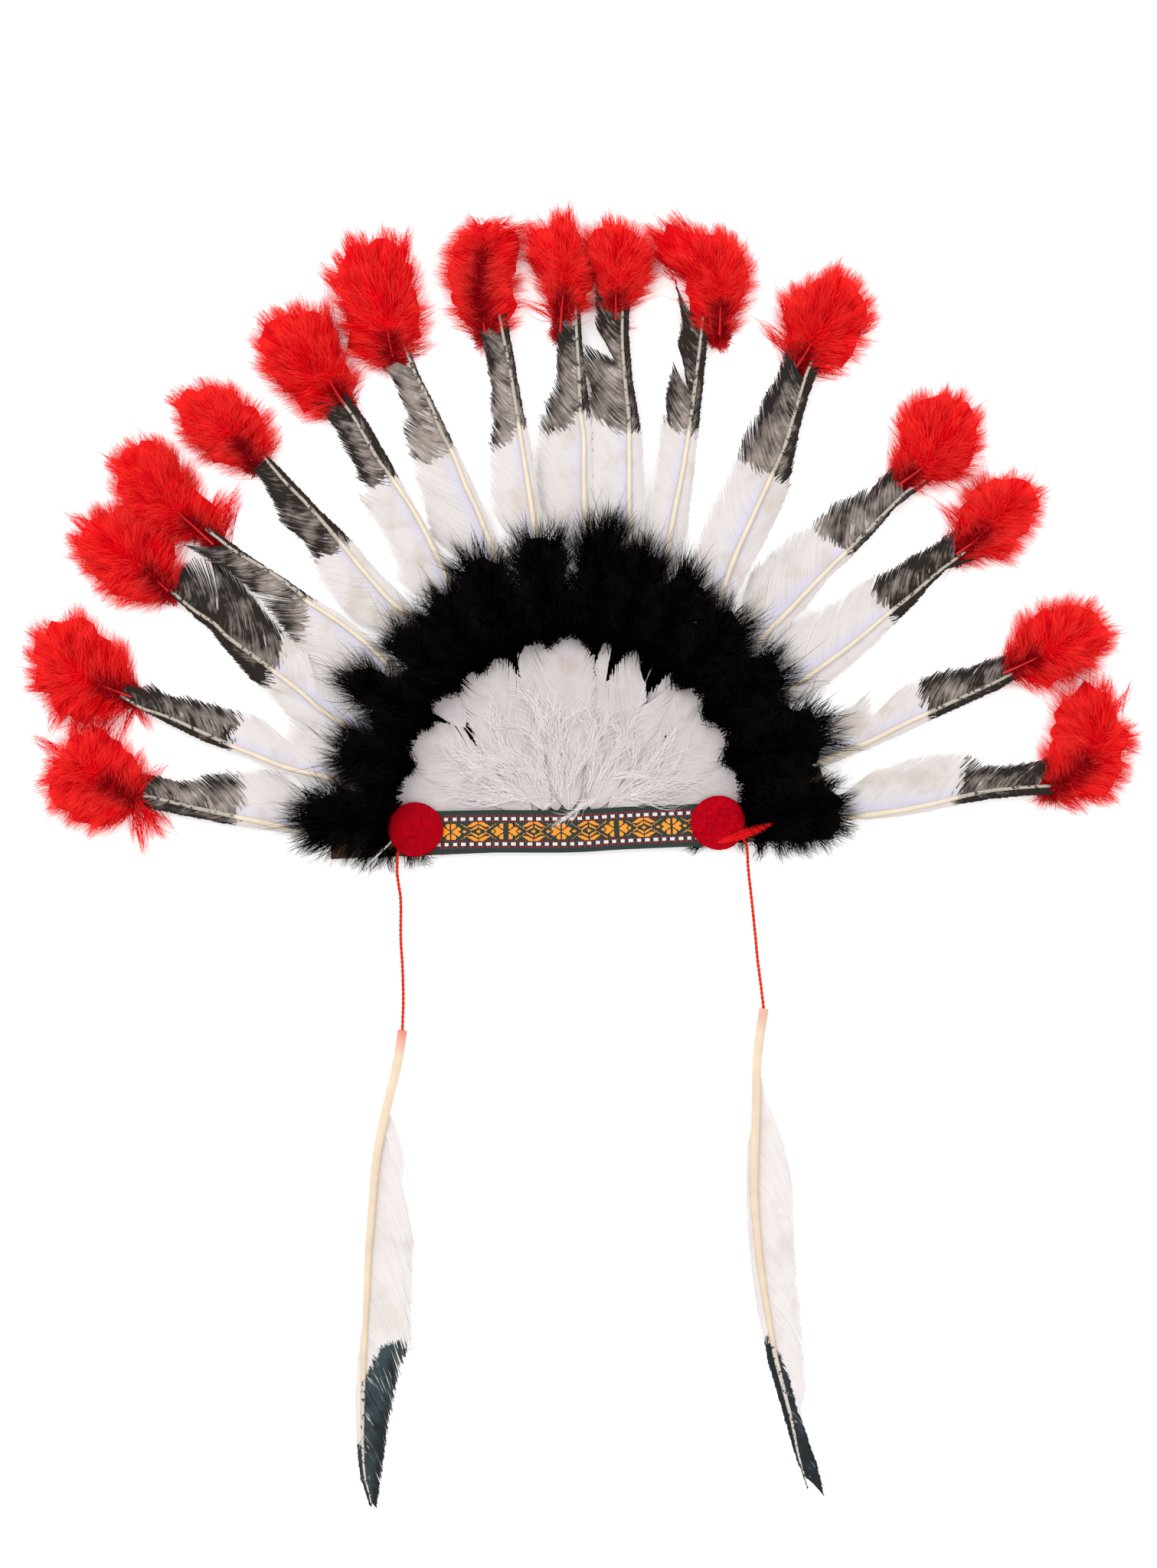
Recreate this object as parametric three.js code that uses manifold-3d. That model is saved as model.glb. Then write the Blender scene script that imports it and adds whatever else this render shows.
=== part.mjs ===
// Feathered headdress, lying flat on its back with its front facing up.
//
// Millimetres. +X runs along the browband to the right, +Y up the headdress towards the
// feather tips, +Z out of its front. The origin is the middle of the browband on the rear
// face of the backing, so the surface that it lies on is at FLOOR_Z.

import * as THREE from 'three';
import { mergeVertices } from 'three/addons/utils/BufferGeometryUtils.js';
import Module from 'manifold-3d';

const wasm = await Module();
wasm.setup();

// ---------------------------------------------------------------- driving dimensions

const GAP = 0.3; // clearance between pieces that touch on the real object
const FLOOR_Z = -2; // surface under the headdress; the elastic lies between it and the backing

const BACKING = {
  centre: [7, -11],
  radius: 151,
  tilt: 2.3, // slope of the straight lower edge, in degrees
  thickness: 2,
  hub: [7, 38], // point that the faces of both sides fan out from
  edgeShares: [0.3, 0.68], // where the lower edge is divided, from its left end
  arcSteps: 22,
};

const FAN_CENTRE = [0, 14]; // point that the plumes and the white fan spread from
const QUILL_END_RADIUS = 109; // hidden ends of the long quills, from the fan centre
const QUILL = { root: 1.9, tip: 0.8 }; // long feather quill radius where the vane starts and ends
const VANE_HALF_THICKNESS = 0.5;
const OVERLAP_LIFT = 2.9; // every other long feather rides this much higher, over its neighbours
const FEATHER_STEPS = 5; // lofted lengths of a long feather's visible vane
const FEATHER_ARCH = 3.2; // rise of a long feather's middle above its root
const TIP_DROP = 0.9; // fall from the middle to the tip
const VANE_TAPER = 14; // vane length hidden below the black plumes
const TIP_HIDDEN = 15; // feather length inside its red fluff
const TIP_NARROWING = 0.6; // share of the vane's last width that is left at that hidden tip
const VANE_MARGIN = 0.25; // least vane beyond the quill on each side
const VANE_TO_QUILL = 0.6; // most vane half-thickness, in quill radii
const QUILL_SHOULDER = 0.8; // where the vane meets the quill, in quill radii

const FLUFF_TOP = 24; // height of the red fluffs
const FLUFF_FACETS = { segments: 16, rows: 5 };
const LOCK_VALLEY = 0.88; // reach left in the dips between neighbouring locks
const TUFT = {
  fullness: 0.85, // below 1, the outline stays wide towards the top
  topShare: 1.008, // upper and lower half-heights of the ball, in half-heights of the tuft
  baseShare: 1.232,
  rowEdge: 0.3, // height above which locks fill the dips of the row below
};

const PLUME_INNER_RADIUS = 104.5;
const PLUME_UNDERSIDE = 9.4;
const PLUME_TOP = 27;
const PLUME_FACETS = { segments: 12, rows: 5 };
const PLUME_LOCKS = 6;
const PLUME_BACK_SHARE = 0.45; // share of a tuft's reach that lies inward of its widest place
const PLUME_SQUARENESS = 3; // 2 is an oval tuft, and more keeps it broad up to its ends
const PLUME_BAND = { // band that the tufts are sewn to
  inner: 106,
  outer: 138,
  low: 9.6,
  high: 20,
  step: 9,
  overrun: 4, // degrees past its first and last tuft
};

const WHITE = {
  start: 16,
  half: 0.4,
  quill: 0.7,
  lowZ: 3.2,
  highZ: 4.9,
  rise: 1.2,
  halfWidths: [3, 7.5, 12.5, 17, 16, 9], // in even steps from the start to the tip
};

const RIBBON = { width: 25.4, thickness: 1.2, z: 5.9, steps: 12 };
const ROSETTE = { radius: 16.25, thickness: 2.5, z: 7.4, bevel: 0.7, sides: 24, openAbove: 30 };

const CORD_DIAMETER = 2;
const ELASTIC_DIAMETER = 1.4;
const ROUND_SIDES = 8;
const CORD_STEP = 2.8; // length of one step along a cord, in diameters

// ---------------------------------------------------------------- tables

// One row for each long feather, from the left end of the headdress to the right. root is
// where the vane leaves the black plumes and tip where the red fluff starts. bow is the
// quill's sideways bend at its middle, to the left of the way the feather points. wider is
// the side with the broad vane. broad and narrow are the vane widths at even steps. end
// replaces QUILL_END_RADIUS where the elastic passes.
const LONG_FEATHERS = [
  {
    root: [-162, 0], tip: [-258, 21], bow: 0, wider: 'right', end: 134,
    broad: [31, 29, 23, 14, 13], narrow: [5, 5, 6, 6, 6],
  },
  {
    root: [-136, 31], tip: [-264, 79], bow: 4, wider: 'right',
    broad: [24, 26, 20, 14, 9], narrow: [4, 4, 4, 4, 3],
  },
  {
    root: [-117, 55], tip: [-238, 140], bow: -2, wider: 'right',
    broad: [26, 27, 27, 29, 20], narrow: [12, 15, 13, 7, 3],
  },
  {
    root: [-101, 91], tip: [-213, 176], bow: 0, wider: 'left',
    broad: [20, 26, 22, 16, 14], narrow: [4, 4, 3, 3, 3],
  },
  {
    root: [-91, 121], tip: [-183, 223], bow: 0, wider: 'left',
    broad: [22, 25, 20, 17, 10], narrow: [4, 4, 4, 4, 3],
  },
  {
    root: [-72, 151], tip: [-136, 255], bow: -2, wider: 'left',
    broad: [24, 22, 18, 14, 12], narrow: [4, 4, 4, 6, 4],
  },
  {
    root: [-49, 172], tip: [-97, 284], bow: -2, wider: 'left',
    broad: [27, 25, 22, 17, 15], narrow: [5, 5, 4, 3, 3],
  },
  {
    root: [-22, 187], tip: [-41, 299], bow: 0, wider: 'left',
    broad: [23, 22, 16, 13, 13], narrow: [5, 5, 5, 4, 4],
  },
  {
    root: [9, 185], tip: [4, 309], bow: 0, wider: 'left',
    broad: [26, 28, 24, 13, 9], narrow: [5, 5, 6, 4, 3],
  },
  {
    root: [35, 175], tip: [31, 306], bow: -2, wider: 'left',
    broad: [22, 22, 22, 24, 15], narrow: [9, 9, 7, 4, 4],
  },
  {
    root: [59, 170], tip: [79, 299], bow: 0, wider: 'left',
    broad: [15, 15, 16, 15, 13], narrow: [10, 8, 6, 4, 3],
  },
  {
    root: [90, 142], tip: [143, 276], bow: -2, wider: 'left',
    broad: [20, 23, 23, 20, 16], narrow: [12, 13, 12, 5, 5],
  },
  {
    root: [118, 119], tip: [206, 205], bow: 0, wider: 'left',
    broad: [30, 31, 28, 22, 17], narrow: [7, 6, 4, 4, 3],
  },
  {
    root: [133, 84], tip: [234, 165], bow: 1, wider: 'left',
    broad: [27, 29, 25, 18, 14], narrow: [11, 10, 8, 5, 5],
  },
  {
    root: [165, 47], tip: [262, 93], bow: 0, wider: 'left',
    broad: [27, 26, 20, 16, 11], narrow: [5, 5, 5, 4, 3],
  },
  {
    root: [174, 9], tip: [288, 27], bow: 2, wider: 'left',
    broad: [26, 28, 26, 14, 15], narrow: [3, 4, 4, 5, 5],
  },
];

// One row for each red fluff, in the same order. reach is its half-size from the centre
// every 45 degrees, anticlockwise from +X.
const RED_FLUFFS = [
  { centre: [-286, 27], reach: [32, 36, 34, 30, 35, 31, 30, 33] },
  { centre: [-296, 98], reach: [33, 34, 38, 35, 32, 34, 38, 37] },
  { centre: [-268, 165], reach: [31, 28, 34, 33, 32, 28, 32, 35] },
  { centre: [-247, 206], reach: [35, 24, 33, 36, 32, 33, 34, 36] },
  { centre: [-211, 243], reach: [31, 26, 27, 34, 29, 24, 27, 31] },
  { centre: [-160, 284], reach: [23, 26, 33, 35, 27, 28, 36, 32] },
  { centre: [-117, 320], reach: [27, 36, 42, 35, 26, 28, 43, 38] },
  { centre: [-52, 333], reach: [20, 33, 33, 28, 24, 29, 36, 28] },
  { centre: [-5, 340], reach: [16, 26, 31, 29, 18, 24, 39, 26] },
  { centre: [28, 338], reach: [20, 24, 30, 30, 15, 20, 31, 22] },
  { centre: [85, 333], reach: [24, 27, 30, 46, 17, 24, 35, 30] },
  { centre: [152, 308], reach: [30, 30, 29, 30, 28, 31, 31, 30] },
  { centre: [221, 236], reach: [26, 31, 29, 29, 27, 37, 28, 29] },
  { centre: [255, 190], reach: [28, 31, 23, 21, 23, 32, 25, 25] },
  { centre: [297, 113], reach: [30, 31, 26, 28, 31, 37, 27, 21] },
  { centre: [309, 55], reach: [33, 35, 40, 30, 26, 44, 41, 37] },
];

// One row for each tuft of the black plumes: its direction from the fan centre in degrees,
// how far it reaches from there, and its half-width. Two neighbours share one plume.
const BLACK_TUFTS = [
  { angle: 183, reach: 167, spread: 21 },
  { angle: 166, reach: 146, spread: 19 },
  { angle: 149, reach: 160, spread: 18 },
  { angle: 134, reach: 153, spread: 16 },
  { angle: 121, reach: 156, spread: 18 },
  { angle: 107, reach: 166, spread: 21 },
  { angle: 94, reach: 169, spread: 18 },
  { angle: 82, reach: 175, spread: 16 },
  { angle: 73, reach: 168, spread: 15 },
  { angle: 62, reach: 163, spread: 17 },
  { angle: 49, reach: 158, spread: 19 },
  { angle: 34, reach: 157, spread: 19 },
  { angle: 18, reach: 167, spread: 25 },
  { angle: -1, reach: 173, spread: 24 },
];
const TUFTS_PER_PLUME = 2;

// One row for each white fan feather: its direction from the fan centre and its reach.
const WHITE_FEATHERS = [
  { angle: 172, reach: 101 },
  { angle: 156, reach: 100 },
  { angle: 140, reach: 98 },
  { angle: 124, reach: 98 },
  { angle: 108, reach: 99 },
  { angle: 92, reach: 101 },
  { angle: 76, reach: 100 },
  { angle: 60, reach: 99 },
  { angle: 44, reach: 102 },
  { angle: 28, reach: 103 },
  { angle: 10, reach: 103 },
];

// The two feathers that hang from the cords. spine runs from the cord to the tip, and
// quill, left and right hold the quill's radius and the vane widths at even steps.
const DROP_FEATHERS = {
  drop_feather_left: {
    spine: [
      [-101, -121], [-109, -162], [-116, -205], [-121, -250], [-123.5, -300], [-125, -355], [-119, -400],
    ],
    quill: [2.6, 2.5, 2.4, 2.3, 2.1, 1.8, 1.5, 1.2, 0.8],
    left: [0, 0, 4, 23, 27, 27, 18, 13, 5],
    right: [0, 0, 0, 0, 1, 3, 4, 4, 2],
  },
  drop_feather_right: {
    spine: [[116, -107], [112, -145], [110.5, -200], [113, -250], [120, -298], [131, -350], [144, -401]],
    quill: [2.6, 2.4, 2.2, 2.1, 2, 1.7, 1.4, 1.1, 0.7],
    left: [0, 1, 15, 24, 21, 19, 14, 8, 7],
    right: [0, 3, 5, 5, 5.5, 6, 5, 2.5, 1],
  },
};

// Centre line of the browband ribbon.
const RIBBON_LINE = [[-97, -1.2], [-50, -0.3], [0, -0.2], [32, 1.6], [94, 4.2]];

const ROSETTES = {
  rosette_left: [-92.4, 1],
  rosette_right: [88.3, 4.9],
};

// Routes of the red cords, from below a rosette to a hanging feather's quill.
const CORDS = {
  cord_left: [
    [-101.5, -6, 4.6], [-103, -12, 4.6], [-103.8, -18, 3.6], [-104, -26, 1], [-103.2, -33, -0.6],
    [-102, -43, -0.9], [-102, -65, -0.9], [-101, -82, -0.9], [-100.5, -102, -0.8], [-101, -120.5, 0.4],
  ],
  cord_right: [
    [101, -1, 4.6], [105, -7.5, 4.6], [106, -13, 3.6], [106.5, -20, 1], [107.2, -27, -0.6],
    [108.5, -38, -0.9], [111, -62, -0.9], [112.5, -78, -0.9], [114.3, -92, -0.8], [116, -106.5, 0.4],
  ],
};

// Route of the elastic: out from below the left rosette, round the lower edge of the
// backing and behind it in a loose arc to the right rosette.
const ELASTIC_ROUTE = [
  [-102, 1, 4.8], [-107, -6, 4.8], [-113.5, -12.5, 4.6], [-119.5, -18.5, 3.7], [-123.5, -23, 1.6],
  [-123, -24, -0.6], [-119, -18, -1.2], [-114, -6, -1.2], [-106, 9, -1.2], [-91, 26, -1.2],
  [-68, 41, -1.2], [-38, 51, -1.2], [2, 55, -1.2], [42, 51, -1.2], [68, 40, -1.2],
  [82, 23, -1.2], [88, 5, -1.2],
];

// A stray red feather that lies across the right rosette.
const WISP = {
  spine: [[91, -6, 10.9], [103, -2, 11.1], [119, 4.5, 14]],
  quill: [0.7, 0.6, 0.5],
  left: [1.2, 3.2, 1.2],
  right: [1.2, 2.6, 1.2],
  half: 0.35,
  headroom: 20,
};

// ---------------------------------------------------------------- geometry helpers

const radians = THREE.MathUtils.degToRad;

/** Value at t, from 0 to 1, of a row of values spaced evenly. */
function sample(values, t) {
  const place = THREE.MathUtils.clamp(t, 0, 1) * (values.length - 1);
  const index = Math.min(Math.floor(place), values.length - 2);
  return THREE.MathUtils.lerp(values[index], values[index + 1], place - index);
}

/** Point at a distance from the fan centre, in a direction in degrees. */
function polar(angle, distance) {
  const [x, y] = FAN_CENTRE;
  return [x + distance * Math.cos(radians(angle)), y + distance * Math.sin(radians(angle))];
}

/**
 * Closed geometry through rings of equally many points, with a fan of triangles over each end.
 * Each ring runs anticlockwise as seen from behind the first one.
 */
function loft(rings) {
  const sides = rings[0].length;
  const centres = [rings[0], rings.at(-1)].map((ring) =>
    ring.reduce((sum, point) => sum.add(point), new THREE.Vector3()).divideScalar(sides));
  const positions = [...rings.flat(), ...centres].flatMap((point) => point.toArray());
  const lastRing = (rings.length - 1) * sides;
  const startHub = rings.length * sides;
  const faces = [];
  for (let side = 0; side < sides; side += 1) {
    const next = (side + 1) % sides;
    for (let base = 0; base < lastRing; base += sides) {
      faces.push(base + side, base + sides + next, base + next);
      faces.push(base + side, base + sides + side, base + sides + next);
    }
    faces.push(startHub, side, next);
    faces.push(startHub + 1, lastRing + next, lastRing + side);
  }
  const geometry = new THREE.BufferGeometry();
  geometry.setAttribute('position', new THREE.Float32BufferAttribute(positions, 3));
  geometry.setIndex(faces);
  return geometry;
}

/** Solid for joining and cutting, from a closed geometry. */
function toSolid(geometry) {
  const bare = geometry.clone();
  bare.deleteAttribute('normal');
  bare.deleteAttribute('uv');
  const merged = mergeVertices(bare, 1e-4);
  return new wasm.Manifold(new wasm.Mesh({
    numProp: 3,
    vertProperties: new Float32Array(merged.attributes.position.array),
    triVerts: new Uint32Array(merged.index.array),
  }));
}

/** Geometry of a solid's largest piece: a cut may leave a loose scrap beside it. */
function toGeometry(solid) {
  const larger = (best, piece) => (piece.volume() > best.volume() ? piece : best);
  const largest = solid.decompose().reduce(larger);
  const mesh = largest.getMesh();
  const geometry = new THREE.BufferGeometry();
  geometry.setAttribute('position', new THREE.Float32BufferAttribute(mesh.vertProperties, 3));
  geometry.setIndex(new THREE.Uint32BufferAttribute(mesh.triVerts, 1));
  return geometry;
}

/**
 * Feather: a round quill with a thin vane on each side, lofted through sections.
 * Each section has at (a point), ahead (the way the quill points), quill (its radius), and
 * left and right (the vane widths). grow widens everything, for the pocket that holds it,
 * headroom raises the top, and flatBack leaves out the quill's underside.
 */
function featherGeometry(sections, shape = {}) {
  const { half = VANE_HALF_THICKNESS, grow = 0, headroom = 0, flatBack = false } = shape;
  const rings = sections.map(({ at, ahead, quill, left, right }) => {
    const radius = quill + grow;
    const shoulder = QUILL_SHOULDER * radius;
    const flat = Math.min(half, quill * VANE_TO_QUILL) + grow;
    const rightWay = new THREE.Vector3(ahead.y, -ahead.x, 0).normalize();
    const toLeft = -Math.max(left, quill + VANE_MARGIN) - grow;
    const toRight = Math.max(right, quill + VANE_MARGIN) + grow;
    const underQuill = [[-shoulder, -flat], [0, -radius], [shoulder, -flat]];
    const outline = [
      [toLeft, -flat], ...(flatBack ? [] : underQuill), [toRight, -flat],
      [toRight, flat + headroom], [shoulder, flat + headroom], [0, radius + headroom],
      [-shoulder, flat + headroom], [toLeft, flat + headroom],
    ];
    return outline.map(([across, up]) =>
      at.clone().addScaledVector(rightWay, across).add(new THREE.Vector3(0, 0, up)));
  });
  return loft(rings);
}

/** Soft tuft of locks round a core: a flattened ball whose outline follows reachAt(angle). */
function tuftGeometry({ centre, reachAt, low, high, locks, facets }) {
  const geometry = new THREE.SphereGeometry(1, facets.segments, facets.rows);
  geometry.rotateX(Math.PI / 2);
  const middle = (low + high) / 2;
  const halfHeight = (high - low) / 2;
  const position = geometry.attributes.position;
  // with an odd number of rows, no ring of the ball lies on its middle
  const widest = Math.cos(facets.rows % 2 === 0 ? 0 : Math.PI / 2 / facets.rows);
  for (let index = 0; index < position.count; index += 1) {
    const across = Math.hypot(position.getX(index), position.getY(index)) / widest;
    const up = position.getZ(index);
    const angle = Math.atan2(position.getY(index), position.getX(index));
    const stagger = Math.abs(up) > TUFT.rowEdge ? Math.PI : 0;
    const dip = (1 - LOCK_VALLEY) * (0.5 - 0.5 * Math.cos(locks * angle + stagger));
    const distance = reachAt(angle) * (1 - dip) * across ** TUFT.fullness;
    const rise = halfHeight * up * (up < 0 ? TUFT.baseShare : TUFT.topShare);
    position.setXYZ(
      index,
      centre[0] + distance * Math.cos(angle),
      centre[1] + distance * Math.sin(angle),
      Math.max(middle + rise, low), // flat where it rests
    );
  }
  return geometry;
}

/** Round cord along a route, with flat ends. */
function cordGeometry(route, diameter) {
  const path = new THREE.CatmullRomCurve3(route.map((point) => new THREE.Vector3(...point)));
  const section = new THREE.Shape();
  for (let side = 0; side < ROUND_SIDES; side += 1) {
    const angle = (2 * Math.PI * side) / ROUND_SIDES;
    const x = (diameter / 2) * Math.cos(angle);
    const y = (diameter / 2) * Math.sin(angle);
    if (side === 0) section.moveTo(x, y);
    else section.lineTo(x, y);
  }
  section.closePath();
  const steps = Math.round(path.getLength() / (diameter * CORD_STEP));
  return new THREE.ExtrudeGeometry(section, { steps, extrudePath: path });
}

// ---------------------------------------------------------------- sub-parts

const headdress = new THREE.Group();
headdress.name = 'feathered_headdress';

/** Add one named piece in its own material. */
function addPiece(name, geometry, color, roughness) {
  const material = new THREE.MeshStandardMaterial({ color, roughness, metalness: 0 });
  const mesh = new THREE.Mesh(geometry, material);
  mesh.name = name;
  headdress.add(mesh);
}

/** Name with a two-figure number, counted from 1. */
const numbered = (stem, index) => `${stem}_${String(index + 1).padStart(2, '0')}`;

/** Brown half-disc that carries everything, with its straight edge along the browband. */
function backingGeometry() {
  const { centre, radius, tilt, thickness, hub, edgeShares, arcSteps } = BACKING;
  const outline = [];
  for (let step = 0; step <= arcSteps; step += 1) {
    const angle = radians(tilt) + (Math.PI * step) / arcSteps;
    outline.push([centre[0] + radius * Math.cos(angle), centre[1] + radius * Math.sin(angle)]);
  }
  const [rightEnd, leftEnd] = [outline[0], outline.at(-1)];
  for (const share of edgeShares) {
    outline.push([
      THREE.MathUtils.lerp(leftEnd[0], rightEnd[0], share),
      THREE.MathUtils.lerp(leftEnd[1], rightEnd[1], share),
    ]);
  }
  const count = outline.length;
  const positions = [];
  for (const z of [0, thickness]) {
    for (const [x, y] of outline) positions.push(x, y, z);
  }
  positions.push(...hub, 0, ...hub, thickness);
  const faces = [];
  for (let index = 0; index < count; index += 1) {
    const next = (index + 1) % count;
    faces.push(2 * count, next, index);
    faces.push(2 * count + 1, count + index, count + next);
    faces.push(index, next, count + next, index, count + next, count + index);
  }
  const geometry = new THREE.BufferGeometry();
  geometry.setAttribute('position', new THREE.Float32BufferAttribute(positions, 3));
  geometry.setIndex(faces);
  return geometry;
}

/** Hidden end of a long quill: where the line back from its root comes to a radius. */
function quillEnd(root, ahead, radius) {
  const from = new THREE.Vector2(root[0] - FAN_CENTRE[0], root[1] - FAN_CENTRE[1]);
  const along = from.dot(ahead);
  const back = along - Math.sqrt(along ** 2 - from.lengthSq() + radius ** 2);
  return new THREE.Vector2(...root).addScaledVector(ahead, -back);
}

/** Sections of a long feather, from its hidden quill end to the tip inside the fluff. */
function longFeatherSections(row, index) {
  const { bow, wider, broad, narrow } = row;
  const rootPoint = new THREE.Vector2(...row.root);
  const tipPoint = new THREE.Vector2(...row.tip);
  const ahead = tipPoint.clone().sub(rootPoint).normalize();
  const leftWay = new THREE.Vector2(-ahead.y, ahead.x);
  const end = quillEnd(row.root, ahead, row.end ?? QUILL_END_RADIUS);
  const middle = rootPoint.clone().lerp(tipPoint, 0.5).addScaledVector(leftWay, bow);
  const lift = index % 2 === 1 ? OVERLAP_LIFT : 0;
  const endZ = BACKING.thickness + GAP + QUILL.root;
  const rootZ = endZ + lift;
  const middleZ = rootZ + FEATHER_ARCH;
  const tipZ = middleZ - TIP_DROP;
  const beyond = tipPoint.clone().addScaledVector(ahead, TIP_HIDDEN);
  const visible = new THREE.CatmullRomCurve3([
    new THREE.Vector3(rootPoint.x, rootPoint.y, rootZ),
    new THREE.Vector3(middle.x, middle.y, middleZ),
    new THREE.Vector3(tipPoint.x, tipPoint.y, tipZ),
  ]);
  const [left, right] = wider === 'left' ? [broad, narrow] : [narrow, broad];
  const bareQuill = { ahead, quill: QUILL.root, left: 0, right: 0 };
  const sections = [{ at: new THREE.Vector3(end.x, end.y, endZ), ...bareQuill }];
  const hidden = rootPoint.distanceTo(end);
  if (hidden > VANE_TAPER + 1) {
    const { x, y } = rootPoint.clone().addScaledVector(ahead, -VANE_TAPER);
    const z = THREE.MathUtils.lerp(rootZ, endZ, VANE_TAPER / hidden);
    sections.push({ at: new THREE.Vector3(x, y, z), ...bareQuill });
  }
  for (let step = 0; step <= FEATHER_STEPS; step += 1) {
    const t = step / FEATHER_STEPS;
    const direction = visible.getTangent(t);
    sections.push({
      at: visible.getPoint(t),
      ahead: new THREE.Vector2(direction.x, direction.y).normalize(),
      quill: THREE.MathUtils.lerp(QUILL.root, QUILL.tip, t),
      left: sample(left, t),
      right: sample(right, t),
    });
  }
  sections.push({
    at: new THREE.Vector3(beyond.x, beyond.y, tipZ),
    ahead,
    quill: QUILL.tip,
    left: left.at(-1) * TIP_NARROWING,
    right: right.at(-1) * TIP_NARROWING,
  });
  return sections;
}

/** Sections along a spine, with the quill's radius and the vane widths in even steps. */
function spineSections({ spine, quill, left, right }, pointAt) {
  const path = new THREE.CatmullRomCurve3(spine.map(([x, y, z = 0]) => new THREE.Vector3(x, y, z)));
  return quill.map((radius, index) => {
    const t = index / (quill.length - 1);
    const direction = path.getTangentAt(t);
    return {
      at: pointAt(path.getPointAt(t), radius),
      ahead: new THREE.Vector2(direction.x, direction.y).normalize(),
      quill: radius,
      left: left[index],
      right: right[index],
    };
  });
}

/** Sections of a white fan feather; every other one lies in the upper layer. */
function whiteSections({ angle, reach }, index) {
  const { start, quill, lowZ, highZ, rise, halfWidths } = WHITE;
  const heading = radians(angle);
  const ahead = new THREE.Vector2(Math.cos(heading), Math.sin(heading));
  const z = index % 2 === 0 ? lowZ : highZ;
  return halfWidths.map((width, step) => {
    const t = step / (halfWidths.length - 1);
    const [x, y] = polar(angle, THREE.MathUtils.lerp(start, reach, t));
    return { at: new THREE.Vector3(x, y, z + rise * t), ahead, quill, left: width, right: width };
  });
}

/** A red fluff, pocketed for the feathers that reach it and parted from its neighbours. */
function fluffSolid({ centre, reach }, neighbours, feathers) {
  const turn = 2 * Math.PI;
  const reachAt = (angle) => sample([...reach, reach[0]], ((angle + turn) % turn) / turn);
  let solid = toSolid(tuftGeometry({
    centre,
    reachAt,
    low: FLOOR_Z,
    high: FLUFF_TOP,
    locks: reach.length,
    facets: FLUFF_FACETS,
  }));
  for (const other of neighbours) {
    const toward = new THREE.Vector2(other.centre[0] - centre[0], other.centre[1] - centre[1]);
    const half = toward.length() / 2;
    toward.normalize();
    const offset = toward.x * centre[0] + toward.y * centre[1] + half - GAP / 2;
    solid = solid.trimByPlane([-toward.x, -toward.y, 0], -offset);
  }
  for (const feather of feathers) solid = solid.subtract(feather);
  return solid;
}

/** One black tuft, from the inner edge of the plumes outwards. */
function blackTuft({ angle, reach, spread }) {
  const back = (reach - PLUME_INNER_RADIUS) * PLUME_BACK_SHARE;
  const heading = radians(angle);
  const forward = reach - PLUME_INNER_RADIUS - back;
  const reachAt = (direction) => {
    const ahead = Math.cos(direction - heading);
    const aside = Math.abs(Math.sin(direction - heading));
    const length = ahead > 0 ? forward : back;
    const power = PLUME_SQUARENESS;
    return 1 / ((Math.abs(ahead) / length) ** power + (aside / spread) ** power) ** (1 / power);
  };
  return toSolid(tuftGeometry({
    centre: polar(angle, PLUME_INNER_RADIUS + back),
    reachAt,
    low: PLUME_UNDERSIDE,
    high: PLUME_TOP,
    locks: PLUME_LOCKS,
    facets: PLUME_FACETS,
  }));
}

/** Curved band below a plume's tufts, between two directions in degrees. */
function plumeBand(from, to) {
  const { inner, outer, low, high, step } = PLUME_BAND;
  const count = Math.ceil(Math.abs(to - from) / step);
  const rings = [];
  for (let index = 0; index <= count; index += 1) {
    const angle = THREE.MathUtils.lerp(from, to, index / count);
    const [insideX, insideY] = polar(angle, inner);
    const [outsideX, outsideY] = polar(angle, outer);
    rings.push([
      new THREE.Vector3(outsideX, outsideY, low), new THREE.Vector3(insideX, insideY, low),
      new THREE.Vector3(insideX, insideY, high), new THREE.Vector3(outsideX, outsideY, high),
    ]);
  }
  return toSolid(loft(rings));
}

/** A black plume: tufts joined to their band, parted from the next plumes between the tufts. */
function blackPlume(rows, before, after) {
  const { overrun } = PLUME_BAND;
  const band = plumeBand(rows[0].angle + overrun, rows.at(-1).angle - overrun);
  let solid = rows.map(blackTuft).reduce((whole, tuft) => whole.add(tuft), band);
  const edges = [
    before && { angle: (before.angle + rows[0].angle) / 2, way: -1 },
    after && { angle: (rows.at(-1).angle + after.angle) / 2, way: 1 },
  ].filter(Boolean);
  for (const { angle, way } of edges) {
    const normal = [-Math.sin(radians(angle)) * way, Math.cos(radians(angle)) * way, 0];
    const offset = normal[0] * FAN_CENTRE[0] + normal[1] * FAN_CENTRE[1] + GAP / 2;
    solid = solid.trimByPlane(normal, offset);
  }
  return solid;
}

/** Felt disc with a softened rim, standing on z = 0. */
function rosetteGeometry() {
  const { radius, thickness, bevel, sides } = ROSETTE;
  const profile = [
    [0, 0], [radius - bevel, 0], [radius, bevel],
    [radius, thickness - bevel], [radius - bevel, thickness], [0, thickness],
  ];
  const points = profile.map(([x, y]) => new THREE.Vector2(x, y));
  return new THREE.LatheGeometry(points, sides).rotateX(Math.PI / 2);
}

/** Clear space over a rosette, so that the black plumes leave its face open. */
function rosetteClearance([x, y]) {
  const { radius, sides, openAbove, z } = ROSETTE;
  const geometry = new THREE.CylinderGeometry(radius + GAP, radius + GAP, 2 * openAbove, sides);
  geometry.rotateX(Math.PI / 2).translate(x, y, z);
  return toSolid(geometry);
}

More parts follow.
